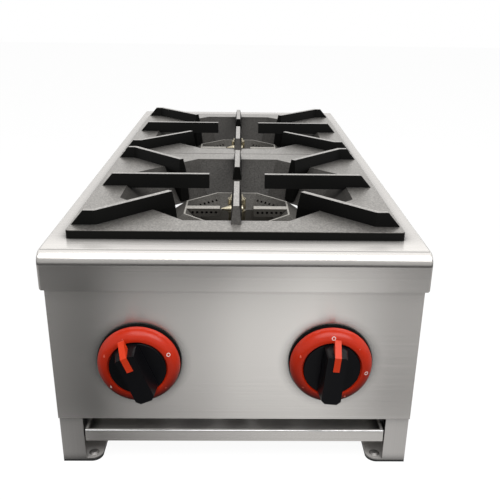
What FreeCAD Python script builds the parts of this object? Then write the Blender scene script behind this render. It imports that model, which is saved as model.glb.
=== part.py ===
import FreeCAD, Part
import math
import os

from FreeCAD import Vector

# Two-burner countertop gas range. Millimetres.
# X to the right, Y to the rear, Z up. The range is laid out from the front panel's face (Y = 0)
# on the floor (Z = 0), and moved at the end so that the origin is under the middle of its box.

# ---- sheet-metal body ----
SHEET = 1.2                # body sheet
DECK_W = 302.0             # top deck, side to side
DECK_D = 625.0             # top deck, front to rear
DECK_TOP = 201.0           # height of the cooking deck
NOSE_R = 10.0              # rolled front edge of the deck
APRON_H = 31.0             # deck's front apron and skirt
APRON_PROUD = 8.5          # apron in front of the panel
APRON_CORNER_R = 2.5
DECK_EDGE_R = 2.0          # folds along the deck's sides and rear
DECK_REAR_R = 4.0          # rear corners in plan
DECK_REAR_LIP = 3.7        # deck behind the rear panel
SKIRT_CLEAR = 0.3          # between the deck's skirt and the body
PANEL_BOTTOM = 47.0
PANEL_TOP_GAP = 9.0        # front panel's top below the deck
PANEL_HEM = 18.0           # front panel's top and bottom flanges
LEG_W = 19.5               # leg's front face
LEG_SETBACK = 3.0          # leg behind the front panel's face
SIDE_EDGE_R = 1.0          # fold along the side panel's top
PANEL_CORNER_R = 2.0       # rear panel's upper corners
REAR_FLANGE_W = 12.0       # side panel's rear return
FOOT_FLANGE_W = 33.0       # inward foot flange
FOOT_CORNER_R = 9.0
PAD_T = 2.0                # rubber foot strip
RIVET_R = 4.5
RIVET_H = 1.4
RIVET_CROWN_R = 2.6        # flat of the head
RIVET_INSET = 8.0          # rivet from the flange's inner edge
RIVETS = 4
TOP_FLANGE_W = 14.0        # side panel's top flange, under the deck
VENT_W = 5.0
VENT_L = 34.0
VENTS = 6
VENT_TO_PIPE = 23.0        # last vent from the gas pipe's axis
VENT_Z = 128.0             # middle of the vent slots
SCREW_R = 3.6
SCREW_H = 1.8
SCREW_EDGE_R = 1.1
SCREW_MARGIN = 12.0        # screws from the panel's bottom and the deck's skirt

# ---- drip tray ----
TRAY_SIDE_CLEAR = 1.3      # between the tray and the leg's inner edge
TRAY_H = 11.0
TRAY_Z = 21.7              # underside
TRAY_REAR_GAP = 12.0
TRAY_HEM = 2.2             # folded top edge
RUNNER_SHELF = 26.5        # runner's shelf, from the side wall
RUNNER_H = 15.0
RUNNER_START = 8.0
TRAY_SEAT_GAP = 0.3

# ---- grates ----
GRATE_SIDE = 15.7          # deck left bare at each side
GRATE_D = 267.5
GRATE_FRONT = 22.3         # front grate's edge behind the front panel's face
GRATE_GAP = 0.5            # seam between the two grates
PLATE_T = 7.0
PLATE_CORNER_R = 3.0
PLATE_EDGE_R = 0.8
ARM_TOP = 11.5             # arm tops above the plate
BOWL_MOUTH = 107.0         # octagon half-widths of the bowl, from top to bottom
BOWL_THROAT = 104.0
BOWL_FOOT = 79.0
BOWL_LIP_DROP = 3.0        # rounded mouth
BOWL_DEPTH = 28.5          # bowl below the deck
BOWL_WALL = 4.5
WELL_CLEAR = 3.5           # deck hole round the bowl
ARM_HALF_TOP = 2.45        # half thickness of an arm at its top
ARM_DRAFT = 0.165          # growth of that half thickness per millimetre down
WEB_DRAFT = 0.03           # the same for the diagonal webs below the straight arms' depth
ARM_UNDER = 13.5           # depth of the straight arms
ARM_END = 27.0             # straight arms end this far from the centre
SIDE_ARM_INSET = 14.3      # side arms' level tops end this far inside the plate's edge
SIDE_ARM_RAMP = 9.8        # run of the sloped outer end
FRONT_ARM_INSET = 1.0      # front and rear arms' level tops end inside the bowl's throat
FRONT_ARM_RAMP = 14.0
DIAG_END = 83.5            # diagonal webs' inner end from the centre, at the top
DIAG_END_LOW = 78.5        # and at the bottom
DIAG_INSET = 19.9          # their bend inside the plate's side edge
DIAG_RUN = 8.5             # level stretch past the bend

# ---- burners ----
BURNER_TOP = 185.2
BURNER_RIM = 51.2          # octagon half-widths
BURNER_RIM_T = 1.6
BURNER_BASE = 68.0
BURNER_SLOPE_H = 13.0
BURNER_H = 36.5
BURNER_WELL = 37.0
BURNER_WELL_DEPTH = 14.5
BAR_END = 16.7             # inward arm's end from the centre
BAR_W = 9.5
BAR_H = 8.0
PORT_R = 1.3
PORT_DEPTH = 3.0
PORTS = 6
PORT_PITCH = 4.6           # along the inward arms
PORT_MARGIN = 4.0          # first port from the arm's end
WALL_PORT_PITCH = 5.6      # along the diagonal walls
WALL_PORT_DROP = 5.9       # below the rim
FOOT_R = 7.0
FOOT_H = 6.0
FOOT_X = 52.5
MIXER_DROP = 32.5          # mixing tube's axis below the burner's rim
MIXER_R = 15.0
MIXER_THROAT_R = 12.0
MIXER_MOUTH_R = 16.0
MIXER_BORE = 9.0
MIXER_LEN = 42.0
MOUTH_LEN = 15.0
SHUTTER_T = 1.3
SHUTTER_CLEAR = 0.08
SHUTTER_LEN = 12.0
WINDOW_L = 7.0             # air windows along the tube
WINDOW_H = 10.0
WINDOW_INSET = 3.0         # from the mouth's front edge
SHUTTER_SET_BACK = 0.5
SHUTTER_TAB = 5.0          # tab's height and length
SHUTTER_TAB_L = 4.0

# ---- rails, injectors ----
RAIL_W = 40.0
RAIL_H = 12.0
RAIL_WINDOW_W = 27.0
RAIL_WINDOW_X = 29.0
RAIL_WINDOW_MARGIN = 6.0
BRACKET_W = 20.0
BRACKET_T = 1.5
BRACKET_DROP = 19.0        # bracket's top below the mixing tube's axis
INJECTOR_W = 14.0
INJECTOR_TIP = 5.0
INJECTOR_GAP = 5.0         # injector's tip in front of the mixing tube

# ---- pilots ----
POST_R = 9.0
POST_RIBS = 14
POST_RIB_DEPTH = 1.2
POST_CAP_H = 13.5
POST_CROWN_H = 3.5
POST_CROWN_R = 5.8
POST_GROOVE_R = 6.8        # waist below the ribbed cap
POST_GROOVE_H = 2.0
POST_BODY_R = 8.4
POST_BODY_H = 16.0
POST_STEM_R = 4.5
POST_ABOVE_RIM = 12.8
POST_NUT_R = 7.5
POST_NUT_H = 8.0
NOZZLE_R = 3.5
NOZZLE_GAP = 0.3           # between nozzle and post
NOZZLE_TIP_X = 15.2
NOZZLE_TIP_R = 0.6
NOZZLE_CONE = 9.0
NOZZLE_BACK = 6.0
NOZZLE_RISE = 2.6          # nozzle's axis above the burner's rim
NOZZLE_STEM_R = 3.0
NOZZLE_STEM_X = 3.0
PILOT_TUBE_R = 2.5
PILOT_BEND_R = 12.0
TUBE_HOLE_CLEAR = 0.2      # round the tube where it passes the rail
PILOT_VALVE_R = 5.5
PILOT_VALVE_H = 18.0
PILOT_VALVE_X = 30.0
PILOT_OUTLET_R = 4.0
PILOT_OUTLET_L = 9.5       # from the valve's axis
PILOT_BOSS_R = 8.0
PILOT_BOSS_H = 1.5

# ---- gas supply ----
KNOB_INSET = 73.0          # knob's axis from the deck's side
KNOB_Z = 103.0
PIPE_R = 10.65
PIPE_BORE = 8.0
PIPE_Y = 58.0
PIPE_INSET = 31.5          # pipe to the rear, from the side panel's face
PIPE_LEFT_INSET = 37.5     # its closed left end, from the other side panel's face
PIPE_CAP = 4.0             # closed left end
PIPE_BEND_R = 24.0
BOSS_R = 10.0
BOSS_L = 14.0              # valve boss from the pipe's axis
VALVE_R = 13.0
VALVE_L = 30.0
VALVE_BACK_WALL = 2.0
OUTLET_R = 6.0
OUTLET_L = 7.0
OUTLET_BORE = 2.5
PLUG_R = 7.5
PLUG_CLEAR = 0.05
PLUG_L = 24.0
PLUG_BACK_GAP = 0.3        # behind the plug
PLUG_BORE_L = 17.0         # stem's bore, its travel included
BONNET_W = 34.0
BONNET_H = 22.0
BONNET_T = 3.0
BONNET_CORNER_R = 4.0
BONNET_SCREW_X = 12.5
BONNET_SCREW_R = 2.6
STEM_R = 4.0
STEM_CLEAR = 0.05
STEM_GRIP = 12.0           # stem inside the plug
STEM_HOLE_CLEAR = 0.5
GAS_TUBE_R = 4.0
GAS_BEND_R = 20.0
GAS_LOW_Z = 58.0           # rear burner's tube along the bottom
GAS_LEAD = 16.0            # straight lead into the front injector
TUBE_NUT_R = 6.8
TUBE_NUT_L = 9.0
INLET_L = 22.0             # threaded end behind the rear panel
INLET_NUT_R = 17.0
INLET_NUT_T = 5.0
INLET_CLEAR = 0.4
INLET_INSIDE = 14.0        # inlet's inner end in front of the rear panel's face
CLIP_W = 18.0
CLIP_T = 1.5
CLIP_TAB = 16.0

# ---- knobs ----
DIAL_R = 34.2
DIAL_BASE_T = 3.6
DIAL_CHAMFER = 0.8
DIAL_BORE = 23.2
DIAL_BASE_BORE = 23.8
DIAL_FRONT = 12.5
DIAL_SHOULDER = 33.6
DIAL_CROWN = 1.2           # rounded step from the bore to the ring's crown
DIAL_BULGE = 1.9           # crown's bulge past a straight slope
DISC_CLEAR = 0.3
DISC_FRONT = 12.3
DISC_T = 8.0
DISC_EDGE_R = 0.8
STEM_TIP = 1.0             # disc left in front of the stem
KNOB_FRONT = 28.0
GRIP_HALF_BASE = 9.6
GRIP_HALF_FRONT = 7.8
GRIP_TOP_FRONT = 19.8      # grip's ends at its front, from the axis
GRIP_LOW_FRONT = 22.3
GRIP_ROOT = 0.5            # grip starts inside the disc
GRIP_MARGIN = 0.2
GRIP_LOW_CUT = 3.0
GRIP_TOP_CUT = 1.0
HUB_R = 7.0
HUB_GAP = 0.6              # hub in front of the panel's face
PANEL_HOLE_R = 8.5
POINTER_W = 5.0
POINTER_PROUD = 1.0
POINTER_NOSE = 0.6         # pointer's fold beyond the grip's edge
POINTER_TIP_T = 1.2
POINTER_LOW = 8.0
POINTER_REACH = 29.5
POINTER_REACH_Y = 16.6
LEFT_TURN = 22.0           # knob's rest angles, anticlockwise from upright
RIGHT_TURN = -5.0

# ---- worked out from the above ----
DECK_REAR = DECK_D - APRON_PROUD
REAR_FACE = DECK_REAR - DECK_REAR_LIP
WALL_X = DECK_W / 2 - SHEET - SKIRT_CLEAR
WALL_IN = WALL_X - SHEET
TRAY_W = 2 * (WALL_X - LEG_W - TRAY_SIDE_CLEAR)
GRATE_W = DECK_W - 2 * GRATE_SIDE
DIAG_BEND = GRATE_W / 2 - DIAG_INSET
SIDE_ARM_TOP_END = GRATE_W / 2 - SIDE_ARM_INSET
FRONT_ARM_TOP_END = BOWL_THROAT - FRONT_ARM_INSET
KNOB_X = DECK_W / 2 - KNOB_INSET
PIPE_RUN_X = WALL_X - PIPE_INSET
PIPE_LEFT_X = WALL_X - PIPE_LEFT_INSET
VENT_PITCH = 2 * (PIPE_RUN_X - VENT_TO_PIPE) / (VENTS - 1)
PANEL_TOP = DECK_TOP - PANEL_TOP_GAP
PLATE_TOP = DECK_TOP + PLATE_T
ARM_Z = PLATE_TOP + ARM_TOP
FRONT_BURNER_Y = GRATE_FRONT + GRATE_D / 2
REAR_BURNER_Y = FRONT_BURNER_Y + GRATE_D + GRATE_GAP
BOWL_Z = DECK_TOP - BOWL_DEPTH
BURNER_Z = BURNER_TOP - BURNER_H
WELL_FLOOR = BURNER_TOP - BURNER_WELL_DEPTH
WELL_SLOPE = (BURNER_RIM - BURNER_RIM_T - BURNER_WELL) / BURNER_WELL_DEPTH
RAIL_TOP = BURNER_Z - FOOT_H
MIXER_Z = BURNER_TOP - MIXER_DROP
VALVE_BACK_Y = PIPE_Y - BOSS_L
VALVE_FRONT_Y = VALVE_BACK_Y - VALVE_L
INLET_END = REAR_FACE + INLET_NUT_T + INLET_L
GRIP_FRONT = KNOB_FRONT + POINTER_PROUD
MIDDLE_Y = (INLET_END - GRIP_FRONT) / 2

X_AXIS = Vector(1, 0, 0)
Y_AXIS = Vector(0, 1, 0)
Z_AXIS = Vector(0, 0, 1)


# ---- small helpers ----
def block(x0, x1, y0, y1, z0, z1):
    return Part.makeBox(x1 - x0, y1 - y0, z1 - z0, Vector(x0, y0, z0))


def rod(radius, start, end):
    run = Vector(*end) - Vector(*start)
    return Part.makeCylinder(radius, run.Length, Vector(*start), run)


def cone(r0, r1, start, end):
    run = Vector(*end) - Vector(*start)
    return Part.makeCone(r0, r1, run.Length, Vector(*start), run)


def polygon(points):
    return Part.makePolygon([Vector(*p) for p in points] + [Vector(*points[0])])


def prism(points, along):
    return Part.Face(polygon(points)).extrude(Vector(*along))


def join(first, *others):
    return first.fuse(list(others)).removeSplitter()


def mirror_x(shape):
    return shape.mirror(Vector(0, 0, 0), X_AXIS)


def octagon(half_width, z, centre_y=0.0):
    half_side = half_width * math.tan(math.pi / 8)
    a, b = half_width, half_side
    corners = [(-b, -a), (b, -a), (a, -b), (a, b), (b, a), (-b, a), (-a, b), (-a, -b)]
    return polygon([(x, y + centre_y, z) for x, y in corners])


def octagon_stack(levels, centre_y=0.0):
    """A solid through octagons given from the bottom up as (z, half width)."""
    solids = []
    for (z0, a0), (z1, a1) in zip(levels, levels[1:]):
        solids.append(Part.makeLoft([octagon(a0, z0, centre_y), octagon(a1, z1, centre_y)], True, True))
    return join(*solids) if len(solids) > 1 else solids[0]


def bent_tube(points, radius, bend, bore=0.0):
    """A round tube along straight runs joined by tangent arcs."""
    corners = [Vector(*p) for p in points]
    edges = []
    start = corners[0]
    for before, corner, after in zip(corners, corners[1:], corners[2:]):
        back = (before - corner).normalize()
        ahead = (after - corner).normalize()
        half = back.getAngle(ahead) / 2
        if math.cos(half) < 1e-4:
            continue
        setback = bend / math.tan(half)
        into = corner + back * setback
        out = corner + ahead * setback
        middle_way = (back + ahead).normalize()
        middle = corner + middle_way * (bend / math.sin(half) - bend)
        edges.append(Part.LineSegment(start, into).toShape())
        edges.append(Part.Arc(into, middle, out).toShape())
        start = out
    edges.append(Part.LineSegment(start, corners[-1]).toShape())
    path = Part.Wire(edges)
    heading = (corners[1] - corners[0]).normalize()
    solid = path.makePipeShell([Part.Wire(Part.makeCircle(radius, corners[0], heading))], True, False)
    if bore:
        inner = path.makePipeShell([Part.Wire(Part.makeCircle(bore, corners[0], heading))], True, False)
        solid = solid.cut(inner)
    return solid


def round_upright(shape, radius, test):
    edges = []
    for edge in shape.Edges:
        a, b = edge.Vertexes[0].Point, edge.Vertexes[-1].Point
        if abs(a.x - b.x) < 1e-6 and abs(a.y - b.y) < 1e-6 and test(a):
            edges.append(edge)
    return shape.makeFillet(radius, edges)


# ---- sheet-metal body ----
def side_panel():
    """The left side: wall, leg face, rear return, top flange and foot flange."""
    z0 = PAD_T
    z1 = DECK_TOP - SHEET
    y0 = LEG_SETBACK
    y1 = REAR_FACE - SHEET
    wall = block(-WALL_X, -WALL_IN, y0, y1, z0, z1)
    leg = block(-WALL_X, -WALL_X + LEG_W, y0, y0 + SHEET, z0, PANEL_TOP)
    rear = block(-WALL_X, -WALL_X + REAR_FLANGE_W, y1 - SHEET, y1, z0, z1)
    top = block(-WALL_X, -WALL_X + TOP_FLANGE_W, PANEL_HEM + SHEET, y1, z1 - SHEET, z1)
    panel = join(wall, leg, rear, top, foot_outline(z0, z0 + SHEET))
    fold = []
    for edge in panel.Edges:
        box = edge.BoundBox
        if box.XMax < -WALL_X + 1e-6 and box.ZMin > z1 - 1e-6:
            fold.append(edge)
    return panel.makeFillet(SIDE_EDGE_R, fold)


def foot_outline(z0, z1):
    """The foot flange's outline: its inner corners are round."""
    inner = -WALL_X + FOOT_FLANGE_W
    plate = block(-WALL_X, inner, LEG_SETBACK, REAR_FACE - SHEET, z0, z1)
    return round_upright(plate, FOOT_CORNER_R, lambda p: p.x > inner - 1)


def foot_pad():
    return foot_outline(0, PAD_T)


def pad_rivets():
    """Low heads along both foot flanges."""
    x = WALL_X - FOOT_FLANGE_W + RIVET_INSET
    z = PAD_T + SHEET
    first = LEG_SETBACK + RIVET_INSET
    last = REAR_FACE - SHEET - RIVET_INSET
    heads = []
    for i in range(RIVETS):
        y = first + (last - first) * i / (RIVETS - 1)
        for side in (-x, x):
            heads.append(cone(RIVET_R, RIVET_CROWN_R, (side, y, z), (side, y, z + RIVET_H)))
    return Part.makeCompound(heads)


def front_panel():
    """A shallow pan: its edges are folded back, with a hole for each valve stem."""
    half = WALL_X
    face = block(-half, half, 0, SHEET, PANEL_BOTTOM, PANEL_TOP)
    left = block(-half, -half + SHEET, 0, LEG_SETBACK, PANEL_BOTTOM, PANEL_TOP)
    inner = WALL_X - LEG_W - SHEET
    low = block(-inner, inner, 0, PANEL_HEM, PANEL_BOTTOM, PANEL_BOTTOM + SHEET)
    high = block(-inner, inner, 0, PANEL_HEM, PANEL_TOP - SHEET, PANEL_TOP)
    pan = join(face, left, mirror_x(left), low, high)
    for x in (-KNOB_X, KNOB_X):
        pan = pan.cut(rod(PANEL_HOLE_R, (x, -1, KNOB_Z), (x, SHEET + 1, KNOB_Z)))
    return pan


def rear_panel():
    """A flat sheet with vent slots and the gas pipe's hole."""
    z1 = DECK_TOP - SHEET
    sheet = block(-WALL_X, WALL_X, REAR_FACE - SHEET, REAR_FACE, PANEL_BOTTOM, z1)
    upper = [e for e in sheet.Edges if e.BoundBox.ZMin > z1 - 1e-6 and e.BoundBox.XLength < 1e-6]
    sheet = sheet.makeFillet(PANEL_CORNER_R, upper)
    r = VENT_W / 2
    for i in range(VENTS):
        x = (i - (VENTS - 1) / 2) * VENT_PITCH
        reach = VENT_L / 2 - r
        low = (x, REAR_FACE - SHEET - 1, VENT_Z - reach)
        high = (x, REAR_FACE - SHEET - 1, VENT_Z + reach)
        slot = block(x - r, x + r, low[1], REAR_FACE + 1, low[2], high[2])
        caps = [rod(r, p, (x, REAR_FACE + 1, p[2])) for p in (low, high)]
        sheet = sheet.cut(join(slot, *caps))
    x = PIPE_RUN_X
    hole = rod(PIPE_R + INLET_CLEAR, (x, REAR_FACE - 10, KNOB_Z), (x, REAR_FACE + 10, KNOB_Z))
    return sheet.cut(hole)


def rear_panel_screws():
    """Pan heads down both edges of the rear panel."""
    x = WALL_X - REAR_FLANGE_W / 2
    end = REAR_FACE + SCREW_H
    low = PANEL_BOTTOM + SCREW_MARGIN
    high = DECK_TOP - APRON_H - SCREW_MARGIN
    heads = []
    for z in (low, (low + high) / 2, high):
        for side in (-x, x):
            head = rod(SCREW_R, (side, REAR_FACE, z), (side, end, z))
            rim = [e for e in head.Edges if e.BoundBox.YMin > end - 1e-6]
            heads.append(head.makeFillet(SCREW_EDGE_R, rim))
    return Part.makeCompound(heads)


def deck_form(inset):
    """The deck's outer form, or its inner form when drawn in by the sheet."""
    half = DECK_W / 2 - inset
    front = -APRON_PROUD + inset
    rear = DECK_REAR - inset
    top = DECK_TOP - inset
    low = DECK_TOP - APRON_H - (1 if inset else 0)
    r = NOSE_R - inset
    bend = r * (1 - math.sqrt(0.5))
    nose = Part.Arc(Vector(-half, front + r, top), Vector(-half, front + bend, top - bend),
                    Vector(-half, front, top - r))
    edges = [
        Part.LineSegment(Vector(-half, rear, low), Vector(-half, rear, top)).toShape(),
        Part.LineSegment(Vector(-half, rear, top), Vector(-half, front + r, top)).toShape(),
        nose.toShape(),
        Part.LineSegment(Vector(-half, front, top - r), Vector(-half, front, low)).toShape(),
        Part.LineSegment(Vector(-half, front, low), Vector(-half, rear, low)).toShape(),
    ]
    form = Part.Face(Part.Wire(edges)).extrude(Vector(2 * half, 0, 0))
    form = round_upright(form, DECK_REAR_R - inset, lambda p: p.y > rear - 1)
    folds = []
    for edge in form.Edges:
        box = edge.BoundBox
        on_side = abs(abs(box.XMin) - half) < 1e-6 and box.XLength < 1e-6 and box.ZMax > low + 1e-6
        at_rear_corner = box.YMin > rear - DECK_REAR_R and box.ZLength > 1
        round_the_rear = box.YMin > rear - DECK_REAR_R and box.ZMin > top - 1e-6
        if (on_side and not at_rear_corner) or round_the_rear:
            folds.append(edge)
    return form.makeFillet(DECK_EDGE_R - inset, folds)


def top_deck():
    """Folded deck with rolled nose, apron, side skirts and a well for each grate."""
    deck = deck_form(0).cut(deck_form(SHEET))
    well = BOWL_THROAT + BOWL_WALL + WELL_CLEAR
    for y in (FRONT_BURNER_Y, REAR_BURNER_Y):
        deck = deck.cut(octagon_stack([(DECK_TOP - 5, well), (DECK_TOP + 5, well)], y))
    low = DECK_TOP - APRON_H
    r = APRON_CORNER_R
    x = DECK_W / 2 - r
    corner = block(x, x + r + 1, -APRON_PROUD - 1, DECK_REAR + 1, low - 1, low + r)
    corner = corner.cut(rod(r, (x, -APRON_PROUD - 2, low + r), (x, DECK_REAR + 2, low + r)))
    return deck.cut(corner).cut(mirror_x(corner))


# ---- drip tray and its runners ----
def tray_runner():
    """An angle on the side wall; its shelf carries the tray's edge."""
    top = TRAY_Z - TRAY_SEAT_GAP
    y0 = LEG_SETBACK + RUNNER_START
    y1 = REAR_FACE - 2 * SHEET
    shelf = block(-WALL_IN, -WALL_IN + RUNNER_SHELF, y0, y1, top - SHEET, top)
    wall = block(-WALL_IN, -WALL_IN + SHEET, y0, y1, top - SHEET, top + RUNNER_H)
    return join(shelf, wall)


def drip_tray():
    """A shallow pan with a folded hem along its top edge."""
    half = TRAY_W / 2
    y0 = LEG_SETBACK
    y1 = REAR_FACE - TRAY_REAR_GAP
    top = TRAY_Z + TRAY_H
    pan = block(-half, half, y0, y1, TRAY_Z, top)
    hollow = block(-half + SHEET, half - SHEET, y0 + SHEET, y1 - SHEET, TRAY_Z + SHEET, top + 1)
    hem_out = block(-half, half, y0, y1, top - TRAY_HEM, top)
    inner = half - TRAY_HEM
    hem_in = block(-inner, inner, y0 + TRAY_HEM, y1 - TRAY_HEM, top - TRAY_HEM - 1, top + 1)
    return join(pan.cut(hollow), hem_out.cut(hem_in))


# ---- grates ----
def half_thickness(z):
    """An arm's half thickness at a height."""
    mid = ARM_Z - ARM_UNDER
    if z >= mid:
        return ARM_HALF_TOP + ARM_DRAFT * (ARM_Z - z)
    return ARM_HALF_TOP + ARM_DRAFT * ARM_UNDER + WEB_DRAFT * (mid - z)


def arm(profile, angle):
    """Part of an arm: a side profile of (distance, z), drafted both ways, turned about the centre."""
    wires = []
    for side in (-1, 1):
        wires.append(polygon([(s, side * half_thickness(z), z) for s, z in profile]))
    solid = Part.makeLoft(wires, True, True)
    solid.rotate(Vector(0, 0, 0), Z_AXIS, angle)
    return solid


def straight_arm(top_end, ramp, angle):
    foot = top_end + ramp
    under = ARM_Z - ARM_UNDER
    profile = [(ARM_END, ARM_Z), (top_end, ARM_Z), (foot, PLATE_TOP), (foot, under), (ARM_END, under)]
    return arm(profile, angle)


def bowl_half_width(z):
    top = PLATE_TOP - BOWL_LIP_DROP
    return BOWL_FOOT + (BOWL_THROAT - BOWL_FOOT) * (z - BOWL_Z) / (top - BOWL_Z)


def diagonal_arm(turn):
    """A deep web down the bowl's wall; on the plate it turns square to the side edge."""
    low = BOWL_Z + BOWL_LIP_DROP
    mid = ARM_Z - ARM_UNDER
    bend = DIAG_BEND * math.sqrt(2)
    wall = BOWL_WALL / 2
    lean = (DIAG_END - DIAG_END_LOW) / (ARM_Z - low)
    end_mid = DIAG_END - lean * ARM_UNDER
    upper = arm([(DIAG_END, ARM_Z), (bend, ARM_Z), (bend, mid), (end_mid, mid)], turn)
    lower = arm([
        (end_mid, mid),
        (bowl_half_width(mid) + wall, mid),
        (bowl_half_width(low) + wall, low),
        (DIAG_END_LOW, low),
    ], turn)
    top_end = DIAG_RUN
    foot = top_end + SIDE_ARM_RAMP
    run = arm([(0, ARM_Z), (top_end, ARM_Z), (foot, PLATE_TOP), (foot, mid), (0, mid)], 0)
    post = bend_post(mid)
    if abs(turn) > 90:
        run.rotate(Vector(0, 0, 0), Z_AXIS, 180)
    x = DIAG_BEND if abs(turn) < 90 else -DIAG_BEND
    y = DIAG_BEND if turn > 0 else -DIAG_BEND
    for piece in (run, post):
        piece.translate(Vector(x, y, 0))
    return join(upper, lower, run, post)


def bend_post(low):
    """Fills the outer side of a diagonal arm's bend."""
    return cone(half_thickness(low), ARM_HALF_TOP, (0, 0, low), (0, 0, ARM_Z))


def grate(centre_y):
    """Cast plate with an octagonal bowl, four straight arms and four diagonal webs."""
    half_w = GRATE_W / 2
    half_d = GRATE_D / 2
    plate = block(-half_w, half_w, -half_d, half_d, DECK_TOP, PLATE_TOP)
    plate = round_upright(plate, PLATE_CORNER_R, lambda p: True)
    rim = [e for e in plate.Edges if e.BoundBox.ZMin > PLATE_TOP - 1e-6]
    plate = plate.makeFillet(PLATE_EDGE_R, rim)
    collar = DECK_TOP + PLATE_T / 3
    bowl = octagon_stack([
        (BOWL_Z, BOWL_FOOT + BOWL_WALL),
        (collar, bowl_half_width(collar) + BOWL_WALL),
    ])
    hollow = octagon_stack([
        (BOWL_Z - 1, bowl_half_width(BOWL_Z - 1)),
        (PLATE_TOP - BOWL_LIP_DROP, BOWL_THROAT),
        (PLATE_TOP, BOWL_MOUTH),
        (PLATE_TOP + 1, BOWL_MOUTH + 1),
    ])
    body = join(plate, bowl).cut(hollow)
    arms = [straight_arm(SIDE_ARM_TOP_END, SIDE_ARM_RAMP, angle) for angle in (0, 180)]
    arms += [straight_arm(FRONT_ARM_TOP_END, FRONT_ARM_RAMP, angle) for angle in (90, -90)]
    arms += [diagonal_arm(angle) for angle in (45, 135, -135, -45)]
    whole = join(body, *arms)
    whole.translate(Vector(0, centre_y, 0))
    return whole


# ---- burners ----
def burner_ports():
    """Drillings through the inward arms' sides and the four diagonal inner walls."""
    tools = []
    bar_z = BURNER_TOP - BAR_H / 2
    for side in (-1, 1):
        for i in range(PORTS):
            x = side * (BAR_END + PORT_MARGIN + i * PORT_PITCH)
            for face in (-1, 1):
                y = face * BAR_W / 2
                tools.append(rod(PORT_R, (x, y + face, bar_z), (x, y - face * PORT_DEPTH, bar_z)))
    z = BURNER_TOP - WALL_PORT_DROP
    wall = BURNER_WELL + WELL_SLOPE * (z - WELL_FLOOR)
    for turn in (45, 135, 225, 315):
        for i in range(PORTS):
            along = (i - (PORTS - 1) / 2) * WALL_PORT_PITCH
            tool = rod(PORT_R, (wall - PORT_DEPTH, along, z), (wall + PORT_DEPTH, along, z))
            tool.rotate(Vector(0, 0, 0), Z_AXIS, turn)
            tools.append(tool)
    return tools


def mixing_tube():
    """Flared tube from the ring's front to its mouth, with windows for primary air."""
    back = -BURNER_BASE + 20
    front = -BURNER_BASE - MIXER_LEN
    mouth = front + MOUTH_LEN
    outline = [
        (MIXER_R, back), (MIXER_R, -BURNER_BASE), (MIXER_THROAT_R, (mouth - BURNER_BASE) / 2),
        (MIXER_THROAT_R, mouth + 3), (MIXER_MOUTH_R, mouth), (MIXER_MOUTH_R, front),
        (MIXER_MOUTH_R - 2, front), (MIXER_MOUTH_R - 2, mouth - 2), (MIXER_BORE, mouth + 3),
        (MIXER_BORE, -BURNER_BASE), (0.0, -BURNER_BASE), (0.0, back),
    ]
    face = Part.Face(polygon([(r, y, 0) for r, y in outline]))
    tube = face.revolve(Vector(0, 0, 0), Y_AXIS, 360)
    tube.translate(Vector(0, 0, MIXER_Z))
    return tube.cut(air_window(front))


def air_window(mouth_front):
    """Cutter for the pair of side windows that let primary air in."""
    reach = MIXER_MOUTH_R * 2
    y = mouth_front + WINDOW_INSET
    return block(-reach, reach, y, y + WINDOW_L, MIXER_Z - WINDOW_H / 2, MIXER_Z + WINDOW_H / 2)


def burner(centre_y):
    """Cast octagonal ring with two inward arms, feet and mixing tube."""
    shell = octagon_stack([
        (BURNER_Z, BURNER_BASE),
        (BURNER_TOP - BURNER_SLOPE_H, BURNER_BASE),
        (BURNER_TOP, BURNER_RIM),
    ])
    well = octagon_stack([
        (BURNER_Z - 1, BURNER_WELL),
        (WELL_FLOOR, BURNER_WELL),
        (BURNER_TOP + 1, BURNER_RIM - BURNER_RIM_T + WELL_SLOPE),
    ])
    ring = shell.cut(well)
    reach = BURNER_RIM - BURNER_RIM_T / 2
    arms = []
    for side in (-1, 1):
        x0, x1 = sorted((side * BAR_END, side * reach))
        arms.append(block(x0, x1, -BAR_W / 2, BAR_W / 2, BURNER_TOP - BAR_H, BURNER_TOP))
    feet = [rod(FOOT_R, (x, 0, RAIL_TOP), (x, 0, BURNER_Z + 1)) for x in (-FOOT_X, FOOT_X)]
    tube = mixing_tube()
    whole = join(ring, *arms, *feet, tube)
    whole = whole.cut(Part.makeCompound(burner_ports()))
    whole = whole.cut(octagon_stack([(BURNER_Z - 20, BURNER_WELL), (BURNER_Z + 5, BURNER_WELL)]))
    whole.translate(Vector(0, centre_y, 0))
    return whole


def air_shutter(centre_y):
    """Sleeve round the mixing tube's mouth with windows like the tube's and a small tab."""
    r_in = MIXER_MOUTH_R + SHUTTER_CLEAR
    r_out = r_in + SHUTTER_T
    mouth_front = centre_y - BURNER_BASE - MIXER_LEN
    y0 = mouth_front + SHUTTER_SET_BACK
    y1 = y0 + SHUTTER_LEN
    sleeve = rod(r_out, (0, y0, MIXER_Z), (0, y1, MIXER_Z))
    tab = block(-1, 1, y1 - SHUTTER_TAB_L, y1, MIXER_Z + r_in + 0.4, MIXER_Z + r_out + SHUTTER_TAB)
    sleeve = join(sleeve, tab).cut(rod(r_in, (0, y0 - 1, MIXER_Z), (0, y1 + 1, MIXER_Z)))
    return sleeve.cut(air_window(mouth_front))


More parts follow.
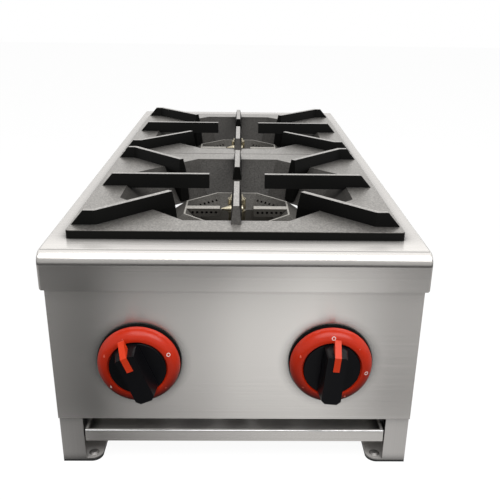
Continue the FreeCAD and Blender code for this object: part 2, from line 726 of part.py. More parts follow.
def burner_rail(centre_y):
    """Channel across the body that carries a burner; windows let air up round the pilot."""
    y0 = centre_y - RAIL_W / 2
    y1 = centre_y + RAIL_W / 2
    top = block(-WALL_IN, WALL_IN, y0, y1, RAIL_TOP - SHEET, RAIL_TOP)
    front = block(-WALL_IN, WALL_IN, y0, y0 + SHEET, RAIL_TOP - RAIL_H, RAIL_TOP)
    rear = block(-WALL_IN, WALL_IN, y1 - SHEET, y1, RAIL_TOP - RAIL_H, RAIL_TOP)
    left = block(-WALL_IN, -WALL_IN + SHEET, y0, y1, RAIL_TOP - RAIL_H, RAIL_TOP)
    rail = join(top, front, rear, left, mirror_x(left))
    m = RAIL_WINDOW_MARGIN
    for x in (-RAIL_WINDOW_X, RAIL_WINDOW_X):
        half = RAIL_WINDOW_W / 2
        rail = rail.cut(block(x - half, x + half, y0 + m, y1 - m, RAIL_TOP - 2 * SHEET, RAIL_TOP + 1))
    x = NOZZLE_STEM_X
    y = nozzle_y(centre_y)
    return rail.cut(rod(PILOT_TUBE_R + TUBE_HOLE_CLEAR, (x, y, RAIL_TOP - 5), (x, y, RAIL_TOP + 5)))


def injector_bracket(centre_y):
    """Strip from the rail's front flange to the injector, below the mixing tube."""
    top = MIXER_Z - BRACKET_DROP
    half = BRACKET_W / 2
    rear = centre_y - RAIL_W / 2
    back = injector_back(centre_y)
    strip = block(-half, half, back - BRACKET_T, rear, top - BRACKET_T, top)
    tab = block(-half, half, rear - BRACKET_T, rear, top - BRACKET_T, RAIL_TOP - SHEET)
    plate = block(-half, half, back - BRACKET_T, back, top - BRACKET_T, MIXER_Z + INJECTOR_W / 2)
    return join(strip, tab, plate)


def injector_back(centre_y):
    return centre_y - BURNER_BASE - MIXER_LEN - INJECTOR_GAP - INJECTOR_TIP - INJECTOR_W


def injector(centre_y):
    """Brass holder with a cross drilling and the jet's tip on the tube's axis."""
    back = injector_back(centre_y)
    half = INJECTOR_W / 2
    holder = block(-half, half, back, back + INJECTOR_W, MIXER_Z - half, MIXER_Z + half)
    y = back + INJECTOR_W
    tip = cone(5.0, 3.0, (0, y, MIXER_Z), (0, y + INJECTOR_TIP, MIXER_Z))
    jet = rod(1.0, (0, y - 3, MIXER_Z), (0, y + INJECTOR_TIP + 1, MIXER_Z))
    return join(holder, tip).cut(jet)


# ---- pilots ----
def pilot_post(centre_y):
    """Brass post standing on the rail: ribbed cap, waist and round body over a nut."""
    top = BURNER_TOP + POST_ABOVE_RIM
    cap_z = top - POST_CAP_H
    body_top = cap_z - POST_GROOVE_H
    body_z = body_top - POST_BODY_H
    step = 2 * math.pi / POST_RIBS
    valley = POST_R - POST_RIB_DEPTH
    points = []
    for i in range(POST_RIBS):
        for share, r in ((-0.30, valley), (-0.16, POST_R), (0.16, POST_R), (0.30, valley)):
            a = (i + share) * step
            points.append((r * math.cos(a), centre_y + r * math.sin(a), cap_z))
    cap = prism(points, (0, 0, POST_CAP_H - POST_CROWN_H))
    crown = cone(valley, POST_CROWN_R, (0, centre_y, top - POST_CROWN_H), (0, centre_y, top))
    waist = rod(POST_GROOVE_R, (0, centre_y, body_top), (0, centre_y, cap_z))
    body = rod(POST_BODY_R, (0, centre_y, body_z), (0, centre_y, body_top))
    stem = rod(POST_STEM_R, (0, centre_y, RAIL_TOP), (0, centre_y, body_z))
    nut = hexagon(POST_NUT_R, RAIL_TOP, RAIL_TOP + POST_NUT_H, centre_y)
    return join(cap, crown, waist, body, stem, nut)


def hexagon(radius, z0, z1, centre_y):
    points = []
    for k in range(6):
        a = k * math.pi / 3
        points.append((radius * math.cos(a), centre_y + radius * math.sin(a), z0))
    return prism(points, (0, 0, z1 - z0))


def nozzle_y(centre_y):
    return centre_y - POST_R - NOZZLE_R - NOZZLE_GAP


def pilot_nozzle(centre_y):
    """Brass elbow beside the post, its cone pointing at the left arm."""
    y = nozzle_y(centre_y)
    z = BURNER_TOP + NOZZLE_RISE
    base = -NOZZLE_TIP_X + NOZZLE_CONE
    barrel = rod(NOZZLE_R, (NOZZLE_BACK, y, z), (base, y, z))
    tip = cone(NOZZLE_R, NOZZLE_TIP_R, (base, y, z), (-NOZZLE_TIP_X, y, z))
    stem = rod(NOZZLE_STEM_R, (NOZZLE_STEM_X, y, RAIL_TOP), (NOZZLE_STEM_X, y, z))
    return join(barrel, tip, stem)


def pilot_valves():
    """Two small screw valves on top of the manifold."""
    both = []
    for x in (-PILOT_VALVE_X, PILOT_VALVE_X):
        z0 = KNOB_Z + PIPE_R + PILOT_BOSS_H
        body = rod(PILOT_VALVE_R, (x, PIPE_Y, z0), (x, PIPE_Y, z0 + PILOT_VALVE_H))
        z = pilot_tube_z()
        out = rod(PILOT_OUTLET_R, (x, PIPE_Y, z), (x, PIPE_Y + PILOT_OUTLET_L, z))
        both.append(join(body, out))
    return Part.makeCompound(both)


def pilot_tube_z():
    return KNOB_Z + PIPE_R + PILOT_BOSS_H + PILOT_VALVE_H * 0.6


def pilot_tube(centre_y, x):
    """Thin tube from a pilot valve to the foot of a nozzle, through the rail."""
    y = nozzle_y(centre_y)
    z = pilot_tube_z()
    start = (x, PIPE_Y + PILOT_OUTLET_L, z)
    points = [start, (x, y, z), (NOZZLE_STEM_X, y, z), (NOZZLE_STEM_X, y, RAIL_TOP)]
    return bent_tube(points, PILOT_TUBE_R, min(PILOT_BEND_R, (RAIL_TOP - z) * 0.8))


# ---- gas supply ----
def gas_manifold():
    """Bent pipe: across behind the knobs, then along the right side to the rear."""
    corner = (PIPE_RUN_X, PIPE_Y, KNOB_Z)
    end = (PIPE_RUN_X, REAR_FACE - INLET_INSIDE, KNOB_Z)
    pipe = bent_tube([(-PIPE_LEFT_X, PIPE_Y, KNOB_Z), corner, end], PIPE_R, PIPE_BEND_R)
    bosses = [rod(BOSS_R, (x, VALVE_BACK_Y, KNOB_Z), (x, PIPE_Y, KNOB_Z)) for x in (-KNOB_X, KNOB_X)]
    for x in (-PILOT_VALVE_X, PILOT_VALVE_X):
        bosses.append(rod(PILOT_BOSS_R, (x, PIPE_Y, KNOB_Z), (x, PIPE_Y, KNOB_Z + PIPE_R + PILOT_BOSS_H)))
    bore = bent_tube([(-PIPE_LEFT_X + PIPE_CAP, PIPE_Y, KNOB_Z), corner, end], PIPE_BORE, PIPE_BEND_R)
    return join(pipe, *bosses).cut(bore)


def gas_inlet():
    """Threaded nipple through the rear panel with a hexagon inside and a lock nut outside."""
    start = REAR_FACE - INLET_INSIDE
    x = PIPE_RUN_X
    nipple = rod(PIPE_R, (x, start, KNOB_Z), (x, INLET_END, KNOB_Z))
    nuts = []
    for y, length in ((start, INLET_INSIDE - SHEET), (REAR_FACE, INLET_NUT_T)):
        points = []
        for k in range(6):
            a = k * math.pi / 3
            points.append((x + INLET_NUT_R * math.cos(a), y, KNOB_Z + INLET_NUT_R * math.sin(a)))
        nuts.append(prism(points, (0, length, 0)))
    bore = rod(PIPE_BORE, (x, start - 1, KNOB_Z), (x, INLET_END + 1, KNOB_Z))
    return join(nipple, *nuts).cut(bore)


def manifold_brackets():
    """Strips from the side walls that the pipe lies on."""
    top = KNOB_Z - PIPE_R - 0.1
    solids = []
    for side, y, reach in ((-1, PIPE_Y, PIPE_LEFT_X - CLIP_W), (1, FRONT_BURNER_Y, PIPE_RUN_X - PIPE_R),
                           (1, REAR_BURNER_Y, PIPE_RUN_X - PIPE_R)):
        y0 = y - CLIP_W / 2
        y1 = y + CLIP_W / 2
        strip = block(reach, WALL_IN, y0, y1, top - CLIP_T, top)
        tab = block(WALL_IN - CLIP_T, WALL_IN, y0, y1, top - CLIP_T, top + CLIP_TAB)
        clip = join(strip, tab)
        solids.append(clip if side > 0 else mirror_x(clip))
    return Part.makeCompound(solids)


def valve_body(x, outlet):
    """Brass barrel on the manifold's boss, bored for its plug; outlet up (+1) or down (-1)."""
    barrel = rod(VALVE_R, (x, VALVE_FRONT_Y, KNOB_Z), (x, VALVE_BACK_Y, KNOB_Z))
    y = (VALVE_FRONT_Y + VALVE_BACK_Y) / 2
    end = KNOB_Z + outlet * (VALVE_R + OUTLET_L)
    boss = rod(OUTLET_R, (x, y, KNOB_Z), (x, y, end))
    whole = join(barrel, boss)
    bore = PLUG_R + PLUG_CLEAR
    whole = whole.cut(rod(bore, (x, VALVE_FRONT_Y - 1, KNOB_Z), (x, VALVE_BACK_Y - VALVE_BACK_WALL, KNOB_Z)))
    z0 = KNOB_Z + outlet * bore
    return whole.cut(rod(OUTLET_BORE, (x, y, z0 - outlet), (x, y, end + outlet)))


def valve_plug(x):
    """Rotating plug with the stem's bore in its front and a gas way across."""
    y0 = plug_front()
    y1 = y0 + PLUG_L
    plug = rod(PLUG_R, (x, y0, KNOB_Z), (x, y1, KNOB_Z))
    plug = plug.cut(rod(STEM_R + STEM_CLEAR, (x, y0 - 1, KNOB_Z), (x, y0 + PLUG_BORE_L, KNOB_Z)))
    return plug.cut(block(x - 10, x + 10, y1 - 5, y1 - 2, KNOB_Z - 1.5, KNOB_Z + 1.5))


def plug_front():
    return VALVE_BACK_Y - VALVE_BACK_WALL - PLUG_BACK_GAP - PLUG_L


def valve_bonnet(x):
    """Front plate that keeps the plug in, with the stem's hole and two screw holes."""
    y1 = VALVE_FRONT_Y
    y0 = y1 - BONNET_T
    half_w = BONNET_W / 2
    half_h = BONNET_H / 2
    plate = block(x - half_w, x + half_w, y0, y1, KNOB_Z - half_h, KNOB_Z + half_h)
    corners = [e for e in plate.Edges if e.BoundBox.YLength > BONNET_T - 1e-6]
    plate = plate.makeFillet(BONNET_CORNER_R, corners)
    return plate.cut(rod(STEM_R + STEM_HOLE_CLEAR, (x, y0 - 1, KNOB_Z), (x, y1 + 1, KNOB_Z)))


def bonnet_screws():
    heads = []
    y = VALVE_FRONT_Y - BONNET_T
    for x in (-KNOB_X, KNOB_X):
        for side in (-BONNET_SCREW_X, BONNET_SCREW_X):
            heads.append(rod(BONNET_SCREW_R, (x + side, y - 2, KNOB_Z), (x + side, y, KNOB_Z)))
    return Part.makeCompound(heads)


def front_gas_tube():
    """Left valve's outlet, up and across to the front injector."""
    y = (VALVE_FRONT_Y + VALVE_BACK_Y) / 2
    z = KNOB_Z + VALVE_R + OUTLET_L
    port = injector_back(FRONT_BURNER_Y) + INJECTOR_W / 2
    side = -INJECTOR_W / 2
    lead = (side - GAS_LEAD, port, MIXER_Z)
    points = [(-KNOB_X, y, z), (-KNOB_X, y, MIXER_Z), lead, (side, port, MIXER_Z)]
    return bent_tube(points, GAS_TUBE_R, GAS_BEND_R)


def rear_gas_tube():
    """Right valve's outlet, down, along the body's foot and up to the rear injector."""
    y = (VALVE_FRONT_Y + VALVE_BACK_Y) / 2
    z = KNOB_Z - VALVE_R - OUTLET_L
    port = injector_back(REAR_BURNER_Y) + INJECTOR_W / 2
    x = KNOB_X
    end = (INJECTOR_W / 2, port, MIXER_Z)
    points = [(x, y, z), (x, y, GAS_LOW_Z), (x, port, GAS_LOW_Z), (x, port, MIXER_Z), end]
    bend = min(GAS_BEND_R, z - GAS_LOW_Z - TUBE_NUT_L - 0.5)
    return bent_tube(points, GAS_TUBE_R, bend)


def tube_nut(end, away):
    """Hexagon nut round a gas tube's end; away points along the tube."""
    heading = Vector(*away)
    across = Vector(0, 1, 0)
    other = heading.cross(across)
    centre = Vector(*end)
    corners = []
    for k in range(6):
        a = k * math.pi / 3
        corners.append(centre + across * (TUBE_NUT_R * math.cos(a)) + other * (TUBE_NUT_R * math.sin(a)))
    body = prism([tuple(c) for c in corners], tuple(heading * TUBE_NUT_L))
    return body.cut(rod(GAS_TUBE_R, end, tuple(centre + heading * TUBE_NUT_L)))


def tube_nuts():
    """Nuts at both ends of both gas tubes."""
    y = (VALVE_FRONT_Y + VALVE_BACK_Y) / 2
    rise = VALVE_R + OUTLET_L
    half = INJECTOR_W / 2
    front = injector_back(FRONT_BURNER_Y) + half
    rear = injector_back(REAR_BURNER_Y) + half
    return Part.makeCompound([
        tube_nut((-KNOB_X, y, KNOB_Z + rise), (0, 0, 1)),
        tube_nut((-half, front, MIXER_Z), (-1, 0, 0)),
        tube_nut((KNOB_X, y, KNOB_Z - rise), (0, 0, -1)),
        tube_nut((half, rear, MIXER_Z), (1, 0, 0)),
    ])


# ---- knobs and dials ----
def ring_y(x, outline):
    """A ring about the knob's axis from (radius, y) points."""
    face = Part.Face(polygon([(r, y, 0) for r, y in outline]))
    ring = face.revolve(Vector(0, 0, 0), Y_AXIS, 360)
    ring.translate(Vector(x, 0, KNOB_Z))
    return ring


def dial_base(x):
    c = DIAL_CHAMFER
    t = DIAL_BASE_T
    bore = DIAL_BASE_BORE
    return ring_y(x, [(bore, 0), (DIAL_R, 0), (DIAL_R, c - t), (DIAL_R - c, -t), (bore, -t)])


def dial_ring(x):
    """Domed ring with a rounded inner lip, on the black base."""
    y0 = -DIAL_BASE_T
    y1 = -DIAL_FRONT
    crown_r = DIAL_BORE + DIAL_CROWN
    start = Vector(DIAL_SHOULDER, y0, 0)
    bulge = Vector((DIAL_SHOULDER + crown_r) / 2 + DIAL_BULGE, (y0 + y1) / 2 - DIAL_BULGE, 0)
    top = Vector(crown_r, y1, 0)
    lip = Vector(DIAL_BORE, y1 + DIAL_CROWN, 0)
    foot = Vector(DIAL_BORE, y0, 0)
    edges = [
        Part.Arc(start, bulge, top).toShape(),
        Part.LineSegment(top, lip).toShape(),
        Part.LineSegment(lip, foot).toShape(),
        Part.LineSegment(foot, start).toShape(),
    ]
    ring = Part.Face(Part.Wire(edges)).revolve(Vector(0, 0, 0), Y_AXIS, 360)
    ring.translate(Vector(x, 0, KNOB_Z))
    return ring


def turned(shape, x, angle):
    """Turns a knob piece about its axis; positive is anticlockwise seen from the front."""
    shape.translate(Vector(x, 0, KNOB_Z))
    shape.rotate(Vector(x, 0, KNOB_Z), Vector(0, -1, 0), angle)
    return shape


def grip_outline(y, half, top, low):
    """The grip's outline at one depth: its lower corners are cut more than its upper ones."""
    c = GRIP_LOW_CUT
    t = GRIP_TOP_CUT
    return polygon([(-half, y, c - low), (c - half, y, -low), (half - c, y, -low), (half, y, c - low),
                    (half, y, top - t), (half - t, y, top), (t - half, y, top), (-half, y, top - t)])


def knob(x, angle):
    """Disc with a drafted grip bar across it and a hub behind."""
    disc_r = DIAL_BORE - DISC_CLEAR
    disc_back = DISC_T - DISC_FRONT
    disc = rod(disc_r, (0, disc_back, 0), (0, -DISC_FRONT, 0))
    rim = [e for e in disc.Edges if e.BoundBox.YLength < 1e-6 and e.BoundBox.YMin < -DISC_FRONT + 1e-6]
    disc = disc.makeFillet(DISC_EDGE_R, rim)
    base_y = GRIP_ROOT - DISC_FRONT
    reach = disc_r - GRIP_MARGIN
    grip = Part.makeLoft([
        grip_outline(base_y, GRIP_HALF_BASE, reach, reach),
        grip_outline(-KNOB_FRONT, GRIP_HALF_FRONT, GRIP_TOP_FRONT, GRIP_LOW_FRONT),
    ], True, True)
    grip = grip.common(rod(disc_r, (0, base_y, 0), (0, -KNOB_FRONT - 1, 0)))
    hub = rod(HUB_R, (0, disc_back - 1, 0), (0, -HUB_GAP, 0))
    whole = join(disc, grip, hub)
    whole = whole.cut(rod(STEM_R, (0, STEM_TIP - DISC_FRONT, 0), (0, 1, 0)))
    return turned(whole, x, angle)


def pointer_profile():
    """Pointer in the knob's upright plane: along the grip's front, then back over the dial."""
    front = -KNOB_FRONT
    proud = front - POINTER_PROUD
    edge = GRIP_TOP_FRONT
    slope = (DIAL_BORE - DISC_CLEAR - GRIP_MARGIN - GRIP_TOP_FRONT) / (KNOB_FRONT - DISC_FRONT + GRIP_ROOT)
    under_y = -POINTER_REACH_Y
    under_z = edge + slope * (KNOB_FRONT - POINTER_REACH_Y)
    return [
        (POINTER_LOW, front), (POINTER_LOW, proud), (edge + POINTER_NOSE, proud),
        (POINTER_REACH, under_y - POINTER_TIP_T), (POINTER_REACH, under_y), (under_z, under_y), (edge, front),
    ]


def knob_pointer(x, angle):
    points = [(-POINTER_W / 2, y, z) for z, y in pointer_profile()]
    return turned(prism(points, (POINTER_W, 0, 0)), x, angle)


def valve_stem(x):
    """Stem from the knob's hub into the plug."""
    return rod(STEM_R, (x, STEM_TIP - DISC_FRONT, KNOB_Z), (x, plug_front() + STEM_GRIP, KNOB_Z))


def build():
    parts = {
        "left_side_panel": side_panel(),
        "right_side_panel": mirror_x(side_panel()),
        "front_panel": front_panel(),
        "rear_panel": rear_panel(),
        "rear_panel_screws": rear_panel_screws(),
        "top_deck": top_deck(),
        "left_foot_pad": foot_pad(),
        "right_foot_pad": mirror_x(foot_pad()),
        "pad_rivets": pad_rivets(),
        "left_tray_runner": tray_runner(),
        "right_tray_runner": mirror_x(tray_runner()),
        "drip_tray": drip_tray(),
        "gas_manifold": gas_manifold(),
        "manifold_brackets": manifold_brackets(),
        "gas_inlet": gas_inlet(),
        "pilot_valves": pilot_valves(),
        "bonnet_screws": bonnet_screws(),
        "tube_nuts": tube_nuts(),
        "front_gas_tube": front_gas_tube(),
        "rear_gas_tube": rear_gas_tube(),
        "front_pilot_tube": pilot_tube(FRONT_BURNER_Y, -PILOT_VALVE_X),
        "rear_pilot_tube": pilot_tube(REAR_BURNER_Y, PILOT_VALVE_X),
    }
    for name, y in (("front", FRONT_BURNER_Y), ("rear", REAR_BURNER_Y)):
        parts[name + "_grate"] = grate(y)
        parts[name + "_burner"] = burner(y)
        parts[name + "_air_shutter"] = air_shutter(y)
        parts[name + "_burner_rail"] = burner_rail(y)
        parts[name + "_injector_bracket"] = injector_bracket(y)
        parts[name + "_injector"] = injector(y)
        parts[name + "_pilot_post"] = pilot_post(y)
        parts[name + "_pilot_nozzle"] = pilot_nozzle(y)
    for name, x, turn, outlet in (("left", -KNOB_X, LEFT_TURN, 1), ("right", KNOB_X, RIGHT_TURN, -1)):
        parts[name + "_valve_body"] = valve_body(x, outlet)
        parts[name + "_valve_bonnet"] = valve_bonnet(x)
        parts[name + "_valve_plug"] = valve_plug(x)
        parts[name + "_valve_stem"] = valve_stem(x)
        parts[name + "_dial_base"] = dial_base(x)
        parts[name + "_dial_ring"] = dial_ring(x)
        parts[name + "_knob"] = knob(x, turn)
        parts[name + "_knob_pointer"] = knob_pointer(x, turn)
    return parts


os.makedirs("parts", exist_ok=True)
for node, shape in build().items():
    placed = shape.copy()
    placed.translate(Vector(0, -MIDDLE_Y, 0))
    print(node, len(placed.Solids), placed.isValid(), round(placed.Volume / 1000, 2))
    placed.exportStep("parts/" + node + ".step")
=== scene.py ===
# %% [markdown]
# # A two-burner countertop gas range
# The solids of this range come from its CAD model, in metres, and they stay where they are.
# This lesson gives them their finishes, adds the small printed and pressed details that a CAD
# model leaves out, and sets up the light and the camera.

import math

import bpy
from mathutils import Matrix, Vector


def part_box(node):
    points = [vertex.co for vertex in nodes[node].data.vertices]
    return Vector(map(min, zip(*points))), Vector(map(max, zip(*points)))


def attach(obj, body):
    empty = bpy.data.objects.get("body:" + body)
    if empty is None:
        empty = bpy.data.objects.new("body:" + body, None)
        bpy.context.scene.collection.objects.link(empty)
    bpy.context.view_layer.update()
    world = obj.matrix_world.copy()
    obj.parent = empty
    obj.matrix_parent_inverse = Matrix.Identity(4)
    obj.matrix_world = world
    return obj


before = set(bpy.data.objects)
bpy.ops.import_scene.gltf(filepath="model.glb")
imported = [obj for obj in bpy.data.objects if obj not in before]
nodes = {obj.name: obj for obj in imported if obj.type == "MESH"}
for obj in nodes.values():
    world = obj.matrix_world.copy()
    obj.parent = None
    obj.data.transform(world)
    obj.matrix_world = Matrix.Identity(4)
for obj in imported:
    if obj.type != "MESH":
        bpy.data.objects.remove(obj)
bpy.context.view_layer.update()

# %% [markdown]
# ## The camera
# The photograph was taken from in front of the range and well above it, with a slight tilt. A
# camera could be aimed by eye, but its lens, place and three turns are known here, so they are
# written down. Its place is measured from the front panel, and follows the range if that moves.

# %% The camera
MM = 0.001
PHOTO_PIXELS = 500
FOCAL_PIXELS = 658.2
SENSOR_WIDTH = 36.0
NEAREST_SEEN = 10 * MM
CAMERA_YAW = math.radians(0.97)
CAMERA_PITCH = math.radians(21.5)
CAMERA_ROLL = math.radians(0.77)
CAMERA_FROM_PANEL = Vector((3.07, -468.45, 385.8)) * MM

panel_face_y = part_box("front_panel")[0][1]


def aimed(yaw, pitch, roll):
    """Turn of a camera that looks along +Y, turned right by yaw, down by pitch and rolled."""
    ahead = Vector((math.sin(yaw) * math.cos(pitch),
                    math.cos(yaw) * math.cos(pitch), -math.sin(pitch)))
    level = Vector((math.cos(yaw), -math.sin(yaw), 0.0))
    upright = level.cross(ahead)
    right = level * math.cos(roll) + upright * math.sin(roll)
    up = upright * math.cos(roll) - level * math.sin(roll)
    return Matrix((right, up, -ahead)).transposed().to_4x4()


lens = bpy.data.cameras.new("photo_camera")
lens.sensor_width = SENSOR_WIDTH
lens.lens = FOCAL_PIXELS / PHOTO_PIXELS * SENSOR_WIDTH
lens.clip_start = NEAREST_SEEN
camera = bpy.data.objects.new("photo_camera", lens)
bpy.context.collection.objects.link(camera)
place = CAMERA_FROM_PANEL + Vector((0.0, panel_face_y, 0.0))
camera.matrix_world = Matrix.Translation(place) @ aimed(CAMERA_YAW, CAMERA_PITCH, CAMERA_ROLL)
bpy.context.scene.camera = camera
print("lens", round(lens.lens, 2), "mm")

# %% [markdown]
# ## Small helpers for node trees
# The studio and every finish are built from a few shader nodes. They could be wired one by one,
# but the same few steps come back all the time, so each step gets a short helper: one adds a
# node, and the others compare numbers, run them through a colour ramp and blend colours.

# %% Node helpers
def tree_of(owner):
    """The node tree of a material or a world."""
    owner.use_nodes = True
    return owner.node_tree


def add(tree, kind, **settings):
    """A new shader node, with its sockets or options set by name."""
    item = tree.nodes.new(kind)
    for name, value in settings.items():
        if name in item.inputs:
            item.inputs[name].default_value = value
        else:
            setattr(item, name, value)
    return item


def feed(tree, source, socket):
    """Sets a socket to a plain number or colour, or links it to another node's output."""
    if isinstance(source, (int, float)):
        socket.default_value = source
    elif isinstance(source, tuple):
        socket.default_value = (*source, 1)
    else:
        tree.links.new(source, socket)


def object_place(tree, **mapping):
    """The piece's own coordinates, moved or stretched by a Mapping node."""
    place = add(tree, "ShaderNodeTexCoord")
    turn = add(tree, "ShaderNodeMapping", **mapping)
    tree.links.new(place.outputs["Object"], turn.inputs["Vector"])
    return turn.outputs["Vector"]


def stepped(tree, value, low, high):
    """0 under low, 1 over high and a smooth rise between."""
    step = add(tree, "ShaderNodeMapRange", interpolation_type="SMOOTHSTEP")
    step.inputs["From Min"].default_value = low
    step.inputs["From Max"].default_value = high
    tree.links.new(value, step.inputs["Value"])
    return step.outputs["Result"]


def math_node(tree, operation, first, second):
    """One sum of two values, each a number or an output."""
    item = add(tree, "ShaderNodeMath", operation=operation)
    feed(tree, first, item.inputs[0])
    feed(tree, second, item.inputs[1])
    return item.outputs[0]


def ramp(tree, value, *stops):
    """A colour ramp; each stop is (position, grey or colour)."""
    item = add(tree, "ShaderNodeValToRGB")
    elements = item.color_ramp.elements
    while len(elements) < len(stops):
        elements.new(0.5)
    for element, (position, colour) in zip(elements, stops):
        element.position = position
        if isinstance(colour, (int, float)):
            colour = grey(colour)
        element.color = (*colour, 1)
    tree.links.new(value, item.inputs["Fac"])
    return item.outputs["Color"]


def grey(level):
    """A grey as a colour."""
    return (level, level, level)


def blend_colours(tree, share, first, second, mode="MIX"):
    """Two colours blended by a share, or in another of the Mix node's ways."""
    mix = add(tree, "ShaderNodeMix", data_type="RGBA", blend_type=mode)
    for source, socket in ((share, 0), (first, 6), (second, 7)):
        feed(tree, source, mix.inputs[socket])
    return mix.outputs[2]


def times(tree, first, second):
    """Two colours multiplied."""
    return blend_colours(tree, 1.0, first, second, "MULTIPLY")


print("node helpers ready, panel face at y", round(panel_face_y, 4))

# %% [markdown]
# ## The studio
# The range stands on a pale floor in an even white surround. Both could be lit until they are
# white, but that would bleach the steel, so they turn plain white only for the camera and for
# reflections, through Light Path. The floor still keeps a soft contact shadow.

# %% White surround
SURROUND_LIGHT = 0.48
SURROUND_SEEN = 1.0
WHITE = grey(1)

bpy.context.scene.view_settings.view_transform = "Standard"


def seen_directly(tree, mirror=True):
    """1 on rays from the camera or through glass, and on mirror rays too where asked."""
    path = add(tree, "ShaderNodeLightPath")
    seen = math_node(tree, "MAXIMUM", path.outputs["Is Camera Ray"],
                     path.outputs["Is Transmission Ray"])
    if mirror:
        seen = math_node(tree, "MAXIMUM", seen, path.outputs["Is Glossy Ray"])
    return seen


world = bpy.context.scene.world or bpy.data.worlds.new("surround")
bpy.context.scene.world = world
air = tree_of(world)
air.nodes.clear()
out = add(air, "ShaderNodeOutputWorld")
soft = add(air, "ShaderNodeBackground", Color=(*WHITE, 1), Strength=SURROUND_LIGHT)
white = add(air, "ShaderNodeBackground", Color=(*WHITE, 1), Strength=SURROUND_SEEN)
pick = add(air, "ShaderNodeMixShader")
for source, socket in ((seen_directly(air), 0), (soft.outputs[0], 1), (white.outputs[0], 2)):
    air.links.new(source, pick.inputs[socket])
air.links.new(pick.outputs[0], out.inputs["Surface"])
print("surround lights the range at", SURROUND_LIGHT)

# %% [markdown]
# ## Grey cards for the steel to mirror
# Brushed steel is mostly what lies in front of it. A photographer lays grey cards before a
# shiny product to shape its reflections, and a picture of a room would do the same less
# plainly. Here the cards are painted on the floor ahead of the range, for mirror rays alone.
# Each card is placed by where the panel shows it to the camera, and the ones nearer to the
# panel show lower on it.

# %% Cards on the floor
CARD_REACH = 0.20
# Each card: where the panel shows it, in metres from its middle, and how pale it is.
FOOT_CARDS = ((-0.20, 0.45), (-0.12, 0.15), (-0.07, 0.3), (0.05, 0.54), (0.10, 0.55),
              (0.20, 0.45))
LOW_CARDS = ((-0.20, 0.35), (-0.12, 0.06), (-0.088, 0.36), (-0.03, 0.58), (0.0, 0.80),
             (0.065, 0.88), (0.125, 0.38), (0.20, 0.45))
HIGH_CARDS = ((-0.20, 0.2), (-0.145, 0.1), (-0.07, 0.25), (-0.015, 0.08), (0.05, 0.95),
              (0.10, 1.0), (0.14, 0.45), (0.20, 0.2))
# Each step: how high on the panel the cards show, in metres, and how far they are dimmed.
CARD_DIMMING = ((0.0, 1.0), (0.042, 1.0), (0.052, 0.68), (0.120, 1.0))
DIMMING_SCALE = 5.0
# The heights on the panel between which one row of cards gives way to the next.
FOOT_TO_LOW = (0.040, 0.050)
LOW_TO_HIGH = (0.172, 0.184)
HIGH_TO_FAR = (0.184, 0.205)
FAR_FLOOR = 0.08
MIRRORED_FLOOR = 0.38
CARDS_START = (-0.04, 0.0)


def mirrored_floor(tree):
    """What steel sees of the floor: the cards, placed by where the panel shows them."""
    split = add(tree, "ShaderNodeSeparateXYZ")
    tree.links.new(object_place(tree), split.inputs[0])
    camera_distance = -CAMERA_FROM_PANEL.y
    ahead = math_node(tree, "SUBTRACT", panel_face_y, split.outputs["Y"])
    reach = math_node(tree, "ADD", math_node(tree, "MAXIMUM", ahead, 0.0), camera_distance)
    nearness = math_node(tree, "DIVIDE", camera_distance, reach)
    across = math_node(tree, "SUBTRACT", split.outputs["X"], CAMERA_FROM_PANEL.x)
    across = math_node(tree, "MULTIPLY", across, nearness)
    place = math_node(tree, "ADD", math_node(tree, "DIVIDE", across, 2 * CARD_REACH), 0.5)
    height = math_node(tree, "MULTIPLY", math_node(tree, "SUBTRACT", 1.0, nearness),
                       CAMERA_FROM_PANEL.z)
    foot, low, high = [ramp(tree, place, *((x / (2 * CARD_REACH) + 0.5, pale) for x, pale in row))
                       for row in (FOOT_CARDS, LOW_CARDS, HIGH_CARDS)]
    cards = blend_colours(tree, stepped(tree, height, *FOOT_TO_LOW), foot, low)
    dimming = ramp(tree, math_node(tree, "MULTIPLY", height, DIMMING_SCALE),
                   *((z * DIMMING_SCALE, pale) for z, pale in CARD_DIMMING))
    cards = times(tree, cards, dimming)
    cards = blend_colours(tree, stepped(tree, height, *LOW_TO_HIGH), cards, high)
    cards = blend_colours(tree, stepped(tree, height, *HIGH_TO_FAR), cards, grey(FAR_FLOOR))
    return blend_colours(tree, stepped(tree, ahead, *CARDS_START), grey(MIRRORED_FLOOR), cards)


print("cards", [len(row) for row in (FOOT_CARDS, LOW_CARDS, HIGH_CARDS)])

# %% [markdown]
# ## The floor
# The floor is one large plane under the range. For the camera it is mostly glow with a share of
# matt white, and the matt share is what takes the range's shadow. It sends little light back up
# to the range, and mirror rays see the cards.

# %% Floor
FLOOR_WHITE = 0.80
FLOOR_BOUNCE = 0.15
FLOOR_SHARE = 0.88
FLOOR_GLOW = 1.06
FLOOR_SIZE = 9.0
FLOOR_DROP = 0.0002


def mixed_shaders(tree, share, first, second):
    """Two shaders mixed by a share."""
    mix = add(tree, "ShaderNodeMixShader")
    for source, socket in ((share, 0), (first.outputs[0], 1), (second.outputs[0], 2)):
        tree.links.new(source, mix.inputs[socket])
    return mix


